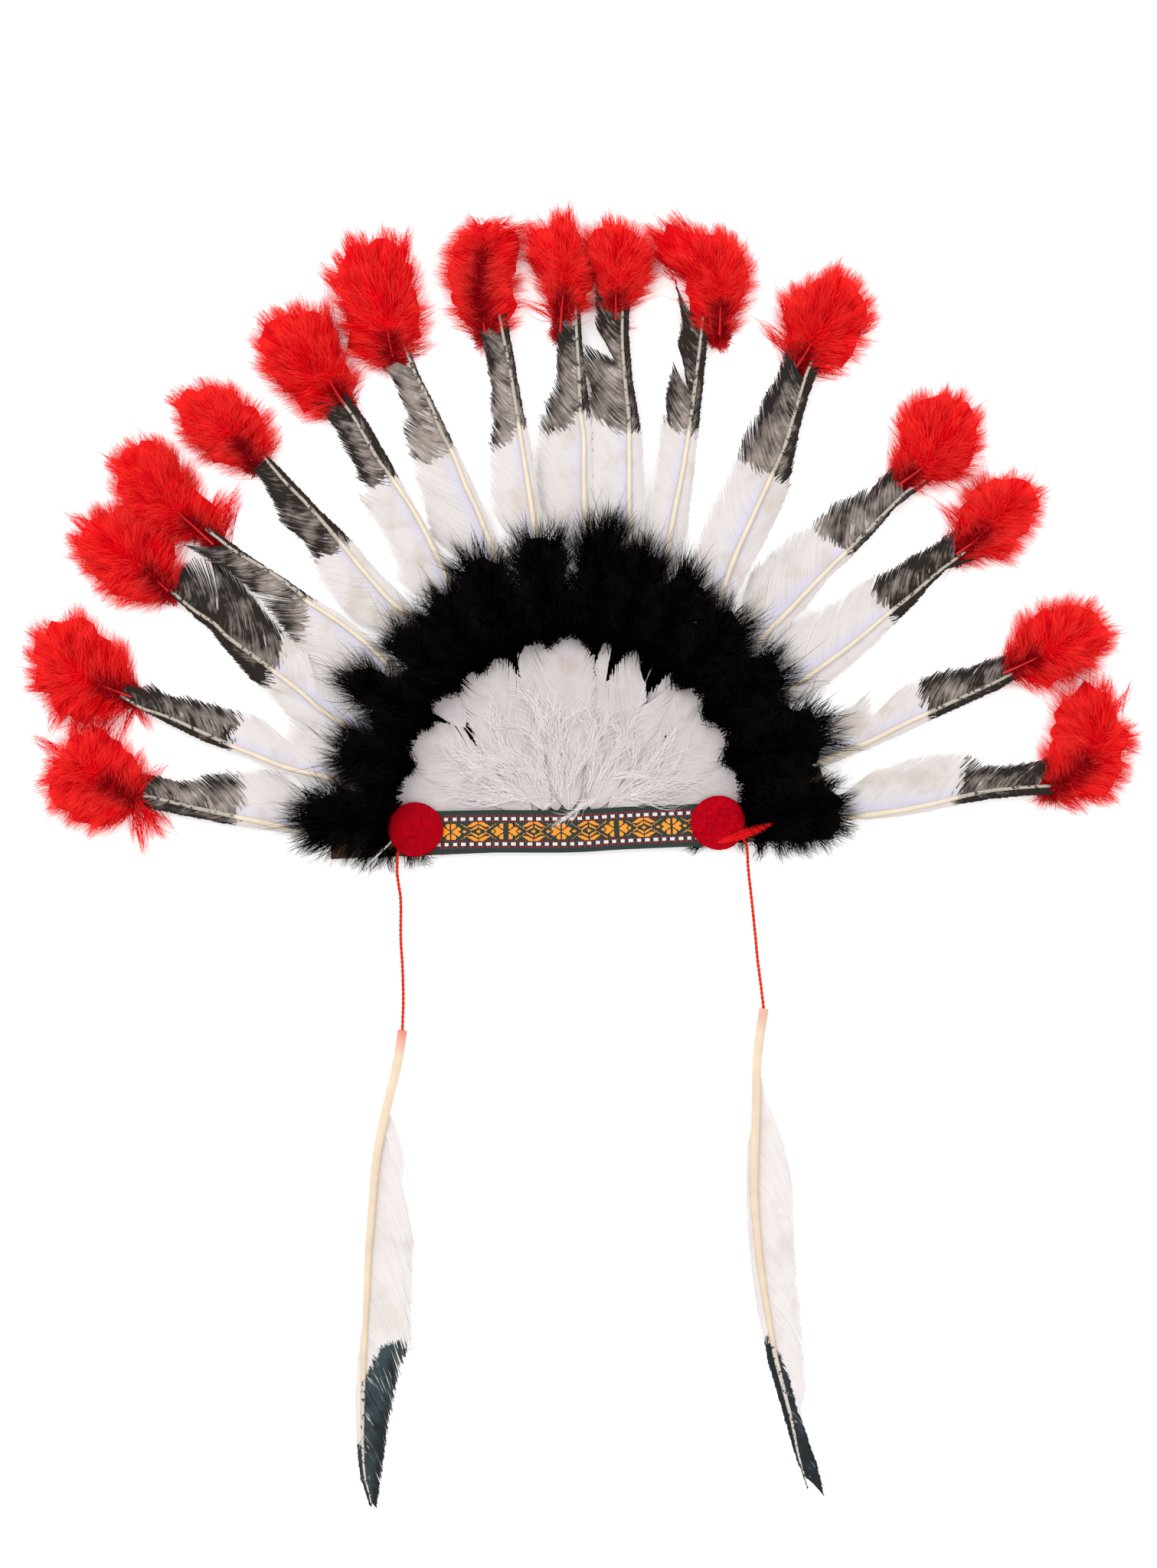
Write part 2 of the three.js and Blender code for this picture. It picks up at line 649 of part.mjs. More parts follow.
/** Woven ribbon along the browband. */
function ribbonGeometry() {
  const { width, thickness, z, steps } = RIBBON;
  const path = new THREE.CatmullRomCurve3(RIBBON_LINE.map(([x, y]) => new THREE.Vector3(x, y, z)));
  const rings = [];
  for (let step = 0; step <= steps; step += 1) {
    const at = path.getPointAt(step / steps);
    const direction = path.getTangentAt(step / steps);
    const across = new THREE.Vector3(direction.y, -direction.x, 0).setLength(width / 2);
    const top = new THREE.Vector3(0, 0, thickness);
    const [upperEdge, lowerEdge] = [at.clone().sub(across), at.clone().add(across)];
    rings.push([upperEdge, lowerEdge, lowerEdge.clone().add(top), upperEdge.clone().add(top)]);
  }
  return loft(rings);
}

// ---------------------------------------------------------------- assembly

const COLOURS = {
  backing: 0x4a3426,
  feather: 0xe6e0dc,
  red: 0xe01f22,
  black: 0x0c0b0b,
  ribbon: 0x23362f,
  felt: 0xb50d18,
  elastic: 0xf0eee9,
};

addPiece('backing', backingGeometry(), COLOURS.backing, 0.95);

const longFeathers = LONG_FEATHERS.map(longFeatherSections);
longFeathers.forEach((sections, index) => {
  addPiece(numbered('long_feather', index), featherGeometry(sections), COLOURS.feather, 0.6);
});

const pockets = longFeathers.map((sections) => toSolid(featherGeometry(sections, { grow: GAP })));
RED_FLUFFS.forEach((row, index) => {
  const neighbours = [RED_FLUFFS[index - 1], RED_FLUFFS[index + 1]].filter(Boolean);
  const geometry = toGeometry(fluffSolid(row, neighbours, pockets));
  addPiece(numbered('red_fluff', index), geometry, COLOURS.red, 0.9);
});

const wispSections = spineSections(WISP, (point) => point);
const wispPocket = { half: WISP.half, grow: GAP, headroom: WISP.headroom };
const wispSpace = toSolid(featherGeometry(wispSections, wispPocket));
const rosetteSpaces = Object.values(ROSETTES).map(rosetteClearance);
for (let first = 0; first < BLACK_TUFTS.length; first += TUFTS_PER_PLUME) {
  const rows = BLACK_TUFTS.slice(first, first + TUFTS_PER_PLUME);
  let plume = blackPlume(rows, BLACK_TUFTS[first - 1], BLACK_TUFTS[first + TUFTS_PER_PLUME]);
  for (const space of [...rosetteSpaces, wispSpace]) plume = plume.subtract(space);
  addPiece(numbered('black_plume', first / TUFTS_PER_PLUME), toGeometry(plume), COLOURS.black, 0.9);
}

WHITE_FEATHERS.forEach((row, index) => {
  const geometry = featherGeometry(whiteSections(row, index), { half: WHITE.half, flatBack: true });
  addPiece(numbered('white_feather', index), geometry, COLOURS.feather, 0.7);
});

addPiece('ribbon', ribbonGeometry(), COLOURS.ribbon, 0.7);

for (const [name, [x, y]] of Object.entries(ROSETTES)) {
  addPiece(name, rosetteGeometry().translate(x, y, ROSETTE.z), COLOURS.felt, 0.95);
}

addPiece('red_wisp', featherGeometry(wispSections, { half: WISP.half }), COLOURS.red, 0.8);

for (const [name, route] of Object.entries(CORDS)) {
  addPiece(name, cordGeometry(route, CORD_DIAMETER), COLOURS.red, 0.85);
}

for (const [name, row] of Object.entries(DROP_FEATHERS)) {
  const onFloor = (point, radius) => new THREE.Vector3(point.x, point.y, FLOOR_Z + radius);
  addPiece(name, featherGeometry(spineSections(row, onFloor)), COLOURS.feather, 0.6);
}

addPiece('elastic', cordGeometry(ELASTIC_ROUTE, ELASTIC_DIAMETER), COLOURS.elastic, 0.8);

export default headdress;
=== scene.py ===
"""Feathered headdress lying on its back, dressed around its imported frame.

The tables hold millimetres in the frame's own axes: +X along the browband to the right,
+Y up the headdress and +Z out of its front. Meshes are in metres.
"""

from __future__ import annotations

import logging
import math
from dataclasses import dataclass, field, replace
from enum import Enum
from typing import Callable, Sequence

import bpy
import numpy as np
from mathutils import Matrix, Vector

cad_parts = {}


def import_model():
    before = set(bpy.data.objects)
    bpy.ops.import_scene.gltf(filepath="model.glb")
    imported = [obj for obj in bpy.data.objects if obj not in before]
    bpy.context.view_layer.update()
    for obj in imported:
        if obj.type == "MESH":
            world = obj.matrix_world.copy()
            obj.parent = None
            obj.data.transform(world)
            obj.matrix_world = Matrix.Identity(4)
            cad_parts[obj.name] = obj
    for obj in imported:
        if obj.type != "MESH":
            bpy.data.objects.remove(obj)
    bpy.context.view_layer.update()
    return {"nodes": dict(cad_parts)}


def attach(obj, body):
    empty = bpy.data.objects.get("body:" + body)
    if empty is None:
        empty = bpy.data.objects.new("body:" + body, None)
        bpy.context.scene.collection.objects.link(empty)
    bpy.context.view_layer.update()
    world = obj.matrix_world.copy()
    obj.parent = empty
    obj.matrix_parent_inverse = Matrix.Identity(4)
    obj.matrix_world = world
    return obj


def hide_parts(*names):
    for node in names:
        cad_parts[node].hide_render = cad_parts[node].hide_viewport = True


LOG = logging.getLogger("headdress")

MM = 0.001
BODY = "root"
FLOOR_Z = -2.0
FAN_CENTRE = np.array([0.0, 14.0])
QUARTER, FULL = math.pi / 2, 2 * math.pi
# where paint starts on a feather that has none
NO_PAINT = 1e4
# range of distances from the paint's edge that the barbs hold
PAINT_RANGE = (-80, 200)
# points on each stretch of a rounded line, and lengths tried on a barb that meets a gap
SPAN_STEPS, GAP_STEPS = 12, 21
# quill length over which its root's tinge fades, and barb length that droops in full
TINGE_LENGTH, DROOP_LENGTH = 14.0, 25.0
# shift that gives the right-hand barbs other streaks than the left-hand ones
SIDE_SHADE = 400.0
# sizes for the barbs of a vane, the strands of a tuft and the barbs of loose down
VANE_BARBS = {
    "Segments": 4, "Tip_share": 0.35, "Taper_power": 4.0, "Waviness": 0.0012, "Wave_scale": 60.0,
}
TUFT_STRANDS = {
    "Segments": 3, "Tip_share": 0.12, "Taper_power": 1.2, "Waviness": 0.004, "Wave_scale": 160.0,
}
LOOSE_BARBS = {
    "Segments": 5, "Tip_share": 0.2, "Taper_power": 1.5, "Waviness": 0.003, "Wave_scale": 140.0,
}

Colour = tuple[float, float, float]
Points = Sequence[Sequence[float]]
Gaps = tuple[tuple[Sequence[float], Sequence[float], float], ...]
Array = np.ndarray
Piece = bpy.types.Object
Material = bpy.types.Material
Node = bpy.types.Node
Socket = bpy.types.NodeSocket
Value = float | int | str | tuple | Socket | bpy.types.ID


# ------------------------------------------------------------------ node trees


def solid(colour: Value) -> Value:
    """A plain colour with its alpha, or the socket as it is."""
    return (*colour, 1.0) if isinstance(colour, tuple) else colour


class Graph:
    """Short-hand for a node tree that is built in code."""

    def __init__(self, tree: bpy.types.NodeTree) -> None:
        """Start on an empty tree."""
        self.tree = tree
        tree.nodes.clear()

    def add(self, kind: str, inputs: dict | None = None, **settings: object) -> Node:
        """Add a node.

        Args:
            kind: Blender's name for the node type.
            inputs: A value or a socket for each input, by its name or place.
            settings: The node's own properties.

        Returns:
            The new node.
        """
        node = self.tree.nodes.new(kind)
        for name, value in settings.items():
            setattr(node, name, value)
        for key, value in (inputs or {}).items():
            if isinstance(value, Socket):
                self.tree.links.new(value, node.inputs[key])
            else:
                node.inputs[key].default_value = value
        return node

    def math(self, operation: str, *values: Value, clamp: bool = False) -> Socket:
        """Output of a math node on one to three values."""
        inputs = dict(enumerate(values))
        return self.add("ShaderNodeMath", inputs, operation=operation, use_clamp=clamp).outputs[0]

    def plus(self, first: Value, *more: Value, clamp: bool = False) -> Socket:
        """Sum of values."""
        for value in more:
            first = self.math("ADD", first, value, clamp=clamp)
        return first

    def minus(self, first: Value, second: Value) -> Socket:
        """Difference of two values."""
        return self.math("SUBTRACT", first, second)

    def times(self, first: Value, second: Value) -> Socket:
        """Product of two values."""
        return self.math("MULTIPLY", first, second)

    def vector(self, operation: str, *values: Value) -> Socket:
        """Vector output of a vector math node; a float goes into its scale."""
        keys = (0, "Scale") if operation == "SCALE" else (0, 1)
        return self.add("ShaderNodeVectorMath", dict(zip(keys, values)), operation=operation).outputs[0]

    def mix(self, share: Value, first: Value, second: Value) -> Socket:
        """Colour between two colours."""
        inputs = {"Factor": share, 6: solid(first), 7: solid(second)}
        return self.add("ShaderNodeMix", inputs, data_type="RGBA").outputs[2]

    def spread(
        self, value: Value, low: float, high: float, to_low: float = 0.0, to_high: float = 1.0
    ) -> Socket:
        """Value carried smoothly from one range to another, and held at its ends."""
        inputs = dict(enumerate((value, low, high, to_low, to_high)))
        return self.add("ShaderNodeMapRange", inputs, interpolation_type="SMOOTHSTEP").outputs[0]

    def attribute(self, name: str, output: str = "Fac") -> Socket:
        """What a mesh attribute holds, in a material."""
        return self.add("ShaderNodeAttribute", attribute_name=name).outputs[output]

    def place(self) -> Socket:
        """The piece's own coordinates, in a material."""
        return self.add("ShaderNodeTexCoord").outputs["Object"]

    def noise(self, place: Value, scale: Value, detail: float = 3.0, output: str = "Fac") -> Socket:
        """Noise from 0 to 1 at a place, or a colour of it."""
        inputs = {"Vector": place, "Scale": scale, "Detail": detail}
        return self.add("ShaderNodeTexNoise", inputs).outputs[output]


def sockets(tree: bpy.types.NodeTree, way: str, **kinds: str) -> None:
    """Give a node tree its named inputs or outputs."""
    for name, kind in kinds.items():
        tree.interface.new_socket(name, in_out=way, socket_type=f"NodeSocket{kind}")


class Recipe:
    """A geometry node tree with named inputs that is baked into plain meshes."""

    def __init__(self, name: str, **sizes: float | int) -> None:
        """Make the tree and its group inputs.

        Args:
            name: Name of the tree.
            sizes: Default value of each input, its name with underscores for spaces.
        """
        self.tree = bpy.data.node_groups.new(name, "GeometryNodeTree")
        self.graph = Graph(self.tree)
        sockets(self.tree, "INPUT", Geometry="Geometry")
        sockets(self.tree, "OUTPUT", Geometry="Geometry")
        for key, value in sizes.items():
            name, kind = key.replace("_", " "), "Int" if isinstance(value, int) else "Float"
            sockets(self.tree, "INPUT", **{name: kind})
            self.tree.interface.items_tree[name].default_value = value
        sockets(self.tree, "INPUT", Material="Material")
        self.given = self.graph.add("NodeGroupInput").outputs

    def named(self, name: str, kind: str = "FLOAT") -> Socket:
        """Attribute of the incoming points."""
        node = self.graph.add("GeometryNodeInputNamedAttribute", {"Name": name}, data_type=kind)
        return node.outputs["Attribute"]

    def store(self, geometry: Value, name: str, value: Value) -> Socket:
        """Geometry with a number stored on its points."""
        inputs = {"Geometry": geometry, "Name": name, "Value": value}
        return self.graph.add("GeometryNodeStoreNamedAttribute", inputs).outputs["Geometry"]

    def step(self, kind: str, geometry: Value, key: str = "Geometry", **inputs: Value) -> Socket:
        """Geometry after one more node, whose other inputs have underscores for spaces."""
        more = {name.replace("_", " "): value for name, value in inputs.items()}
        return self.graph.add(f"GeometryNode{kind}", {key: geometry, **more}).outputs[0]

    def swept(self, curve: Value, radius: Value) -> Socket:
        """Closed round tube along each curve."""
        inputs = {"Resolution": self.given["Sides"], "Radius": 1.0}
        ring = self.graph.add("GeometryNodeCurvePrimitiveCircle", inputs)
        tube_inputs = {"Profile_Curve": ring.outputs["Curve"], "Scale": radius, "Fill_Caps": True}
        return self.step("CurveToMesh", curve, "Curve", **tube_inputs)

    def close(self, geometry: Value) -> None:
        """End the tree: whole meshes, smooth, in the given material."""
        whole = self.step("RealizeInstances", geometry)
        done = self.step("SetMaterial", self.step("SetShadeSmooth", whole), Material=self.given["Material"])
        self.graph.add("NodeGroupOutput", {"Geometry": done})

    def bake(self, source: Piece, material: Material, **sizes: float) -> Piece:
        """Run the tree on an object and leave a plain mesh.

        Args:
            source: Object that holds the points or lines.
            material: Material for the new faces.
            sizes: Values for the named inputs, with underscores for spaces.

        Returns:
            The same object, with the finished mesh and no modifier.
        """
        modifier = source.modifiers.new("recipe", "NODES")
        modifier.node_group = self.tree
        wanted = {key.replace("_", " "): value for key, value in sizes.items()} | {"Material": material}
        for item in self.tree.interface.items_tree:
            if item.in_out == "INPUT" and item.name in wanted:
                modifier[item.identifier] = wanted[item.name]
        graph = bpy.context.evaluated_depsgraph_get()
        made = bpy.data.meshes.new_from_object(source.evaluated_get(graph))
        source.modifiers.remove(modifier)
        source.data = made
        made.name = source.name
        return source


class StrandRecipe(Recipe):
    """Barbs: each incoming point becomes a narrow curved ribbon."""

    def __init__(self) -> None:
        """Build the tree."""
        super().__init__(
            "barbs", Segments=3, Tip_share=0.2, Taper_power=1.0, Waviness=0.0, Wave_scale=120.0
        )
        g, add, given = self.graph, self.graph.add, self.given
        line = add("GeometryNodeCurvePrimitiveLine", {"End": (0.0, 0.0, 1.0)}).outputs[0]
        steps = self.step("ResampleCurve", line, "Curve", Count=g.plus(given["Segments"], 1.0))
        placed = self.step("InstanceOnPoints", given["Geometry"], "Points", Instance=steps)
        curves = self.step("RealizeInstances", placed)
        stored = self.store(curves, "along", add("GeometryNodeSplineParameter").outputs["Factor"])
        along = self.named("along")
        root_paint, tip_paint = self.named("paint_root"), self.named("paint_tip")
        paint = g.plus(root_paint, g.times(g.minus(tip_paint, root_paint), along))
        painted = self.store(stored, "paint", paint)
        back = add("ShaderNodeCombineXYZ", {2: g.times(along, -1.0)}).outputs[0]
        run = g.vector("SCALE", self.named("run", "FLOAT_VECTOR"), along)
        hump = g.times(g.times(along, g.minus(1.0, along)), 4.0)
        bend = g.vector("SCALE", self.named("bend", "FLOAT_VECTOR"), hump)
        shifted = g.vector("ADD", g.vector("ADD", run, bend), back)
        moved = self.step("SetPosition", painted, Offset=shifted)
        position = add("GeometryNodeInputPosition").outputs[0]
        wave = g.noise(position, given["Wave scale"], 2.0, "Color")
        centred = g.vector("SUBTRACT", wave, (0.5, 0.5, 0.5))
        swing = g.vector("SCALE", centred, g.times(given["Waviness"], along))
        waved = self.step("SetPosition", moved, Offset=swing)
        level = add("GeometryNodeSetCurveNormal", {"Curve": waved}, mode="Z_UP").outputs[0]
        tilted = self.step("SetCurveTilt", level, "Curve", Tilt=self.named("tilt"))
        narrowing = g.times(g.math("POWER", along, given["Taper power"]), g.minus(1.0, given["Tip share"]))
        width = g.times(self.named("wide"), g.minus(1.0, narrowing))
        flat = add("GeometryNodeCurvePrimitiveLine", {"Start": (0.5, 0.0, 0.0), "End": (-0.5, 0.0, 0.0)})
        self.close(self.step("CurveToMesh", tilted, "Curve", Profile_Curve=flat.outputs[0], Scale=width))


class TubeRecipe(Recipe):
    """Round tube along each incoming line, as thick as its points say."""

    def __init__(self) -> None:
        """Build the tree."""
        super().__init__("tubes", Sides=8)
        curve = self.step("MeshToCurve", self.given["Geometry"], "Mesh")
        self.close(self.swept(curve, self.named("wide")))


class TwistRecipe(Recipe):
    """Plies wound round each incoming line."""

    def __init__(self) -> None:
        """Build the tree."""
        super().__init__(
            "twisted_plies", Plies=3, Pitch=0.006, Ply_radius=0.0005, Lay_radius=0.0005, Sides=6
        )
        g, add, given = self.graph, self.graph.add, self.given
        curve = self.step("MeshToCurve", given["Geometry"], "Mesh")
        inputs = {"Geometry": curve, "Amount": given["Plies"]}
        copies = add("GeometryNodeDuplicateElements", inputs, domain="SPLINE")
        numbered = self.store(copies.outputs[0], "ply", copies.outputs["Duplicate Index"])
        length = add("GeometryNodeSplineParameter").outputs["Length"]
        share = g.math("DIVIDE", self.named("ply"), given["Plies"])
        angle = g.times(g.plus(g.math("DIVIDE", length, given["Pitch"]), share), FULL)
        normal = add("GeometryNodeInputNormal").outputs[0]
        other = g.vector("CROSS_PRODUCT", add("GeometryNodeInputTangent").outputs[0], normal)
        first = g.vector("SCALE", normal, g.math("COSINE", angle))
        out = g.vector("ADD", first, g.vector("SCALE", other, g.math("SINE", angle)))
        wound = self.step("SetPosition", numbered, Offset=g.vector("SCALE", out, given["Lay radius"]))
        self.close(self.swept(wound, given["Ply radius"]))


# ------------------------------------------------------------------ finishes


def mottle() -> bpy.types.NodeTree:
    """Shader group that varies a colour with soft blotches and fine grain.

    Returns:
        The group, with inputs Color, Blotch and Grain and output Color.
    """
    found = bpy.data.node_groups.get("mottle")
    if found:
        return found
    tree = bpy.data.node_groups.new("mottle", "ShaderNodeTree")
    g = Graph(tree)
    sockets(tree, "INPUT", Color="Color", Blotch="Float", Grain="Float")
    sockets(tree, "OUTPUT", Color="Color")
    given = g.add("NodeGroupInput").outputs
    place = g.place()
    blotch = g.times(g.minus(g.noise(place, 90.0), 0.5), given["Blotch"])
    grain = g.times(g.minus(g.noise(place, 1400.0), 0.5), given["Grain"])
    g.add("NodeGroupOutput", {"Color": g.vector("SCALE", given["Color"], g.plus(blotch, grain, 1.0))})
    return tree


@dataclass(frozen=True)
class Finish:
    """What every material has: a name, a roughness and its shine."""

    name: str
    roughness: float = 0.8
    specular: float = 0.3

    def surface(self, g: Graph, shader: Node) -> Socket:
        """Base colour of the surface, which each kind of finish makes in its own way."""
        raise NotImplementedError

    def material(self) -> Material:
        """Build the material, with its surface under one shader."""
        material = bpy.data.materials.new(self.name)
        material.use_nodes = True
        g = Graph(material.node_tree)
        inputs = {"Roughness": self.roughness, "Specular IOR Level": self.specular}
        shader = g.add("ShaderNodeBsdfPrincipled", inputs)
        g.add("ShaderNodeOutputMaterial", {"Surface": shader.outputs[0]})
        g.tree.links.new(self.surface(g, shader), shader.inputs["Base Color"])
        return material

    @staticmethod
    def mottled(g: Graph, colour: Value, blotch: float, grain: float) -> Socket:
        """Colour with the shared blotches and grain over it."""
        inputs = {"Color": solid(colour), "Blotch": blotch, "Grain": grain}
        return g.add("ShaderNodeGroup", inputs, node_tree=mottle()).outputs["Color"]

    @staticmethod
    def bump(g: Graph, shader: Node, height: Value, distance: float) -> None:
        """Relief on the surface, with its height in millimetres."""
        node = g.add("ShaderNodeBump", {"Height": height, "Distance": distance * MM, "Strength": 1.0})
        g.tree.links.new(node.outputs[0], shader.inputs["Normal"])


@dataclass(frozen=True)
class DownFinish(Finish):
    """Soft down: painted shade deep between its locks and along its stem, bright on the locks, and a
    painted highlight paler at the tips.
    """

    roughness: float = 1.0
    deep: Colour = (0.2, 0.0, 0.0)
    bright: Colour = (0.8, 0.01, 0.01)
    tip: Colour = (0.9, 0.05, 0.03)

    def surface(self, g: Graph, shader: Node) -> Socket:
        """Colour from the strands' tone and the place along them."""
        tone, along = g.attribute("tone"), g.attribute("along")
        # tone holds random lock tones and painted shade from the stem's valley and the core; the paler tip
        # colour is a painted highlight
        body = g.mix(tone, self.deep, self.bright)
        return self.mottled(g, g.mix(g.spread(along, 0.45, 1.0), body, self.tip), 0.25, 0.1)


@dataclass(frozen=True)
class VaneFinish(Finish):
    """Feather vane: pale, tinged by the quill, and painted beyond a line across it.

    ragged is how far the paint's edge swings, strength how blotchy the paint is, and
    lines how dark the painted shade in the fine lines between the barbs is.
    """

    pale: Colour = (0.64, 0.6, 0.59)
    tinge: Colour = (0.55, 0.535, 0.68)
    stain: Colour = (0.56, 0.5, 0.46)
    paint: Colour = (0.018, 0.013, 0.011)
    wash: Colour = (0.33, 0.278, 0.25)
    ragged: float = 22.0
    strength: float = 4.6
    lines: float = 0.25

    def surface(self, g: Graph, shader: Node) -> Socket:
        """Colour from the barbs' place, paint and shade."""
        along, reach, shade, cover = (g.attribute(name) for name in ("along", "paint", "shade", "cover"))
        place = g.place()
        tinged = g.mix(g.spread(along, 0.0, 0.45, 0.85, 0.0), self.pale, self.tinge)
        stained = g.mix(g.spread(g.noise(place, 50.0), 0.5, 0.72), tinged, self.stain)
        cloudy = self.mottled(g, stained, 0.1, 0.05)
        broad, narrow = (
            g.add("ShaderNodeCombineXYZ", {0: g.times(shade, scale), 1: along}).outputs[0]
            for scale in (0.45, 1.3)
        )
        streak, fine = g.noise(broad, 1.6), g.noise(narrow, 1.7, 2.0)
        patch = g.noise(place, 75.0)
        # painted shade: darker fine lines between the barbs
        barb_shade = tuple(part * 0.7 for part in self.pale)
        cloudy = g.mix(g.spread(fine, 0.3, 0.5, self.lines, 0.0), cloudy, barb_shade)
        swing = g.times(g.minus(fine, 0.5), self.ragged)
        drift = g.times(g.minus(patch, 0.5), self.ragged * 0.6)
        inside = g.spread(g.plus(reach, swing, drift), -0.8, 1.2)
        rim = g.spread(along, 0.5, 1.0, -0.08, 0.46)
        end = g.spread(reach, 15.0, 60.0, 0.05, 0.4)
        rough = g.plus(g.times(streak, 0.5), g.times(patch, 0.5))
        uneven = g.times(g.minus(0.5, rough), self.strength)
        fresh = g.plus(cover, rim, end)
        body = g.mix(g.plus(fresh, uneven, clamp=True), self.wash, self.paint)
        bare = g.minus(fine, g.times(fresh, 0.12))
        worn = g.mix(g.spread(bare, 0.56, 0.64, 0.0, 0.6), body, cloudy)
        return g.mix(inside, cloudy, worn)


@dataclass(frozen=True)
class QuillFinish(Finish):
    """Quill: cream, speckled where the vane beside it is painted, tinged at its root."""

    roughness: float = 0.4
    cream: Colour = (0.68, 0.59, 0.46)
    far: Colour = (0.4, 0.36, 0.3)
    speck: Colour = (0.05, 0.045, 0.04)
    root: Colour = (0.6, 0.33, 0.27)

    def surface(self, g: Graph, shader: Node) -> Socket:
        """Colour from the paint and the tinge along the quill."""
        reach, tinge = g.attribute("paint"), g.attribute("tinge")
        place = g.place()
        inside = g.spread(reach, -2.0, 3.0)
        body = g.mix(inside, self.cream, self.far)
        specks = g.times(g.spread(g.noise(place, 420.0), 0.54, 0.62), inside)
        return self.mottled(g, g.mix(tinge, g.mix(specks, body, self.speck), self.root), 0.3, 0.1)


@dataclass(frozen=True)
class FeltFinish(Finish):
    """Pressed felt: matted fibres in two tones, darker where the piece's tone is low."""

    colour: Colour = (0.4, 0.01, 0.02)
    depth: float = 1.0
    relief: float = 0.2

    def surface(self, g: Graph, shader: Node) -> Socket:
        """Colour of the matted fibres, with their relief."""
        place = g.place()
        fibres = g.noise(place, 900.0, 6.0)
        clumps = g.spread(g.noise(place, 420.0, 5.0), 0.36, 0.64)
        matted = tuple(part * self.depth for part in self.colour)
        worn = g.mix(g.attribute("tone"), matted, self.colour)
        felt = self.mottled(g, g.mix(clumps, g.mix(0.6, worn, matted), worn), 0.6, 0.8)
        self.bump(g, shader, fibres, self.relief)
        return felt


@dataclass(frozen=True)
class WovenFinish(Finish):
    """Jacquard ribbon: each thread's own colour under a fine grain."""

    def surface(self, g: Graph, shader: Node) -> Socket:
        """Colour that the threads hold."""
        return self.mottled(g, g.attribute("thread", "Color"), 0.1, 0.25)


@dataclass(frozen=True)
class YarnFinish(Finish):
    """Twisted yarn or a bare stem: a fibrous colour, with a paler one in it."""

    colour: Colour = (0.7, 0.02, 0.02)
    pale: Colour = (0.85, 0.3, 0.25)
    relief: float = 0.1

    def surface(self, g: Graph, shader: Node) -> Socket:
        """Colour of the fine fibres, with their relief."""
        fibres = g.noise(g.place(), 2500.0, 4.0)
        yarn = self.mottled(g, g.mix(g.spread(fibres, 0.45, 0.8), self.colour, self.pale), 0.3, 0.3)
        self.bump(g, shader, fibres, self.relief)
        return yarn


@dataclass(frozen=True)
class PlainFinish(Finish):
    """Even matte surface with a faint grain, and a glow where it is lit from below."""

    colour: Colour = (0.9, 0.9, 0.9)
    grain: float = 0.0
    glow: float = 0.0

    def surface(self, g: Graph, shader: Node) -> Socket:
        """The plain colour."""
        shader.inputs["Emission Color"].default_value = (1.0, 1.0, 1.0, 1.0)
        shader.inputs["Emission Strength"].default_value = self.glow
        return self.mottled(g, self.colour, 0.0, self.grain)


FINISHES = (
    # each down's paler tip colour is a painted highlight at the strand ends
    DownFinish(
        "red_marabou", specular=0.05, deep=(0.14, 0.0, 0.003), bright=(0.86, 0.003, 0.008),
        tip=(0.92, 0.036, 0.028),
    ),
    DownFinish(
        "black_marabou", specular=0.01, deep=(0.0001, 0.0001, 0.0001), bright=(0.0012, 0.0009, 0.0009),
        tip=(0.006, 0.005, 0.005),
    ),
    DownFinish(
        "white_down", specular=0.1, deep=(0.66, 0.62, 0.62), bright=(0.74, 0.7, 0.69),
        tip=(0.8, 0.77, 0.76),
    ),
    VaneFinish("long_vane", roughness=0.7, specular=0.12),
    VaneFinish(
        "fan_vane", roughness=0.65, pale=(0.54, 0.49, 0.49), tinge=(0.5, 0.45, 0.46),
        stain=(0.47, 0.41, 0.39), lines=0.5,
    ),
    # drop vane: dark paint, whose bluish-green tint in paint and wash is a painted sheen
    VaneFinish(
        "drop_vane", roughness=0.6, pale=(0.71, 0.67, 0.66), tinge=(0.66, 0.6, 0.57),
        stain=(0.65, 0.6, 0.57), paint=(0.003, 0.007, 0.01), wash=(0.03, 0.05, 0.06), ragged=20.0,
    ),
    QuillFinish("quill"),
    QuillFinish("drop_quill", cream=(0.68, 0.55, 0.41), far=(0.55, 0.5, 0.44), root=(0.66, 0.2, 0.15)),
    PlainFinish("fan_quill", roughness=0.5, colour=(0.62, 0.58, 0.54), grain=0.2),
    YarnFinish("red_stem", roughness=0.4, colour=(0.5, 0.0, 0.004), pale=(0.7, 0.008, 0.008)),
    FeltFinish("backing_felt", roughness=0.95, colour=(0.12, 0.065, 0.035)),
    FeltFinish("rosette_felt", roughness=1.0, specular=0.03, colour=(0.42, 0.001, 0.008), depth=0.55),
    WovenFinish("woven_ribbon", roughness=0.6),
    YarnFinish("red_yarn", roughness=0.9, specular=0.1, colour=(0.6, 0.022, 0.004), pale=(0.7, 0.07, 0.02)),
    YarnFinish("white_elastic", colour=(0.78, 0.76, 0.72), pale=(0.85, 0.84, 0.82)),
    PlainFinish("pale_floor", roughness=0.9, colour=(0.95, 0.95, 0.95), glow=0.22),
)


@dataclass
class Kit:
    """What every sub-assembly builds with: the geometry trees, and the materials by name."""

    strands: StrandRecipe = field(default_factory=StrandRecipe)
    tubes: TubeRecipe = field(default_factory=TubeRecipe)
    twist: TwistRecipe = field(default_factory=TwistRecipe)
    materials: dict[str, Material] = field(
        default_factory=lambda: {finish.name: finish.material() for finish in FINISHES}
    )


# ------------------------------------------------------------------ lines and meshes


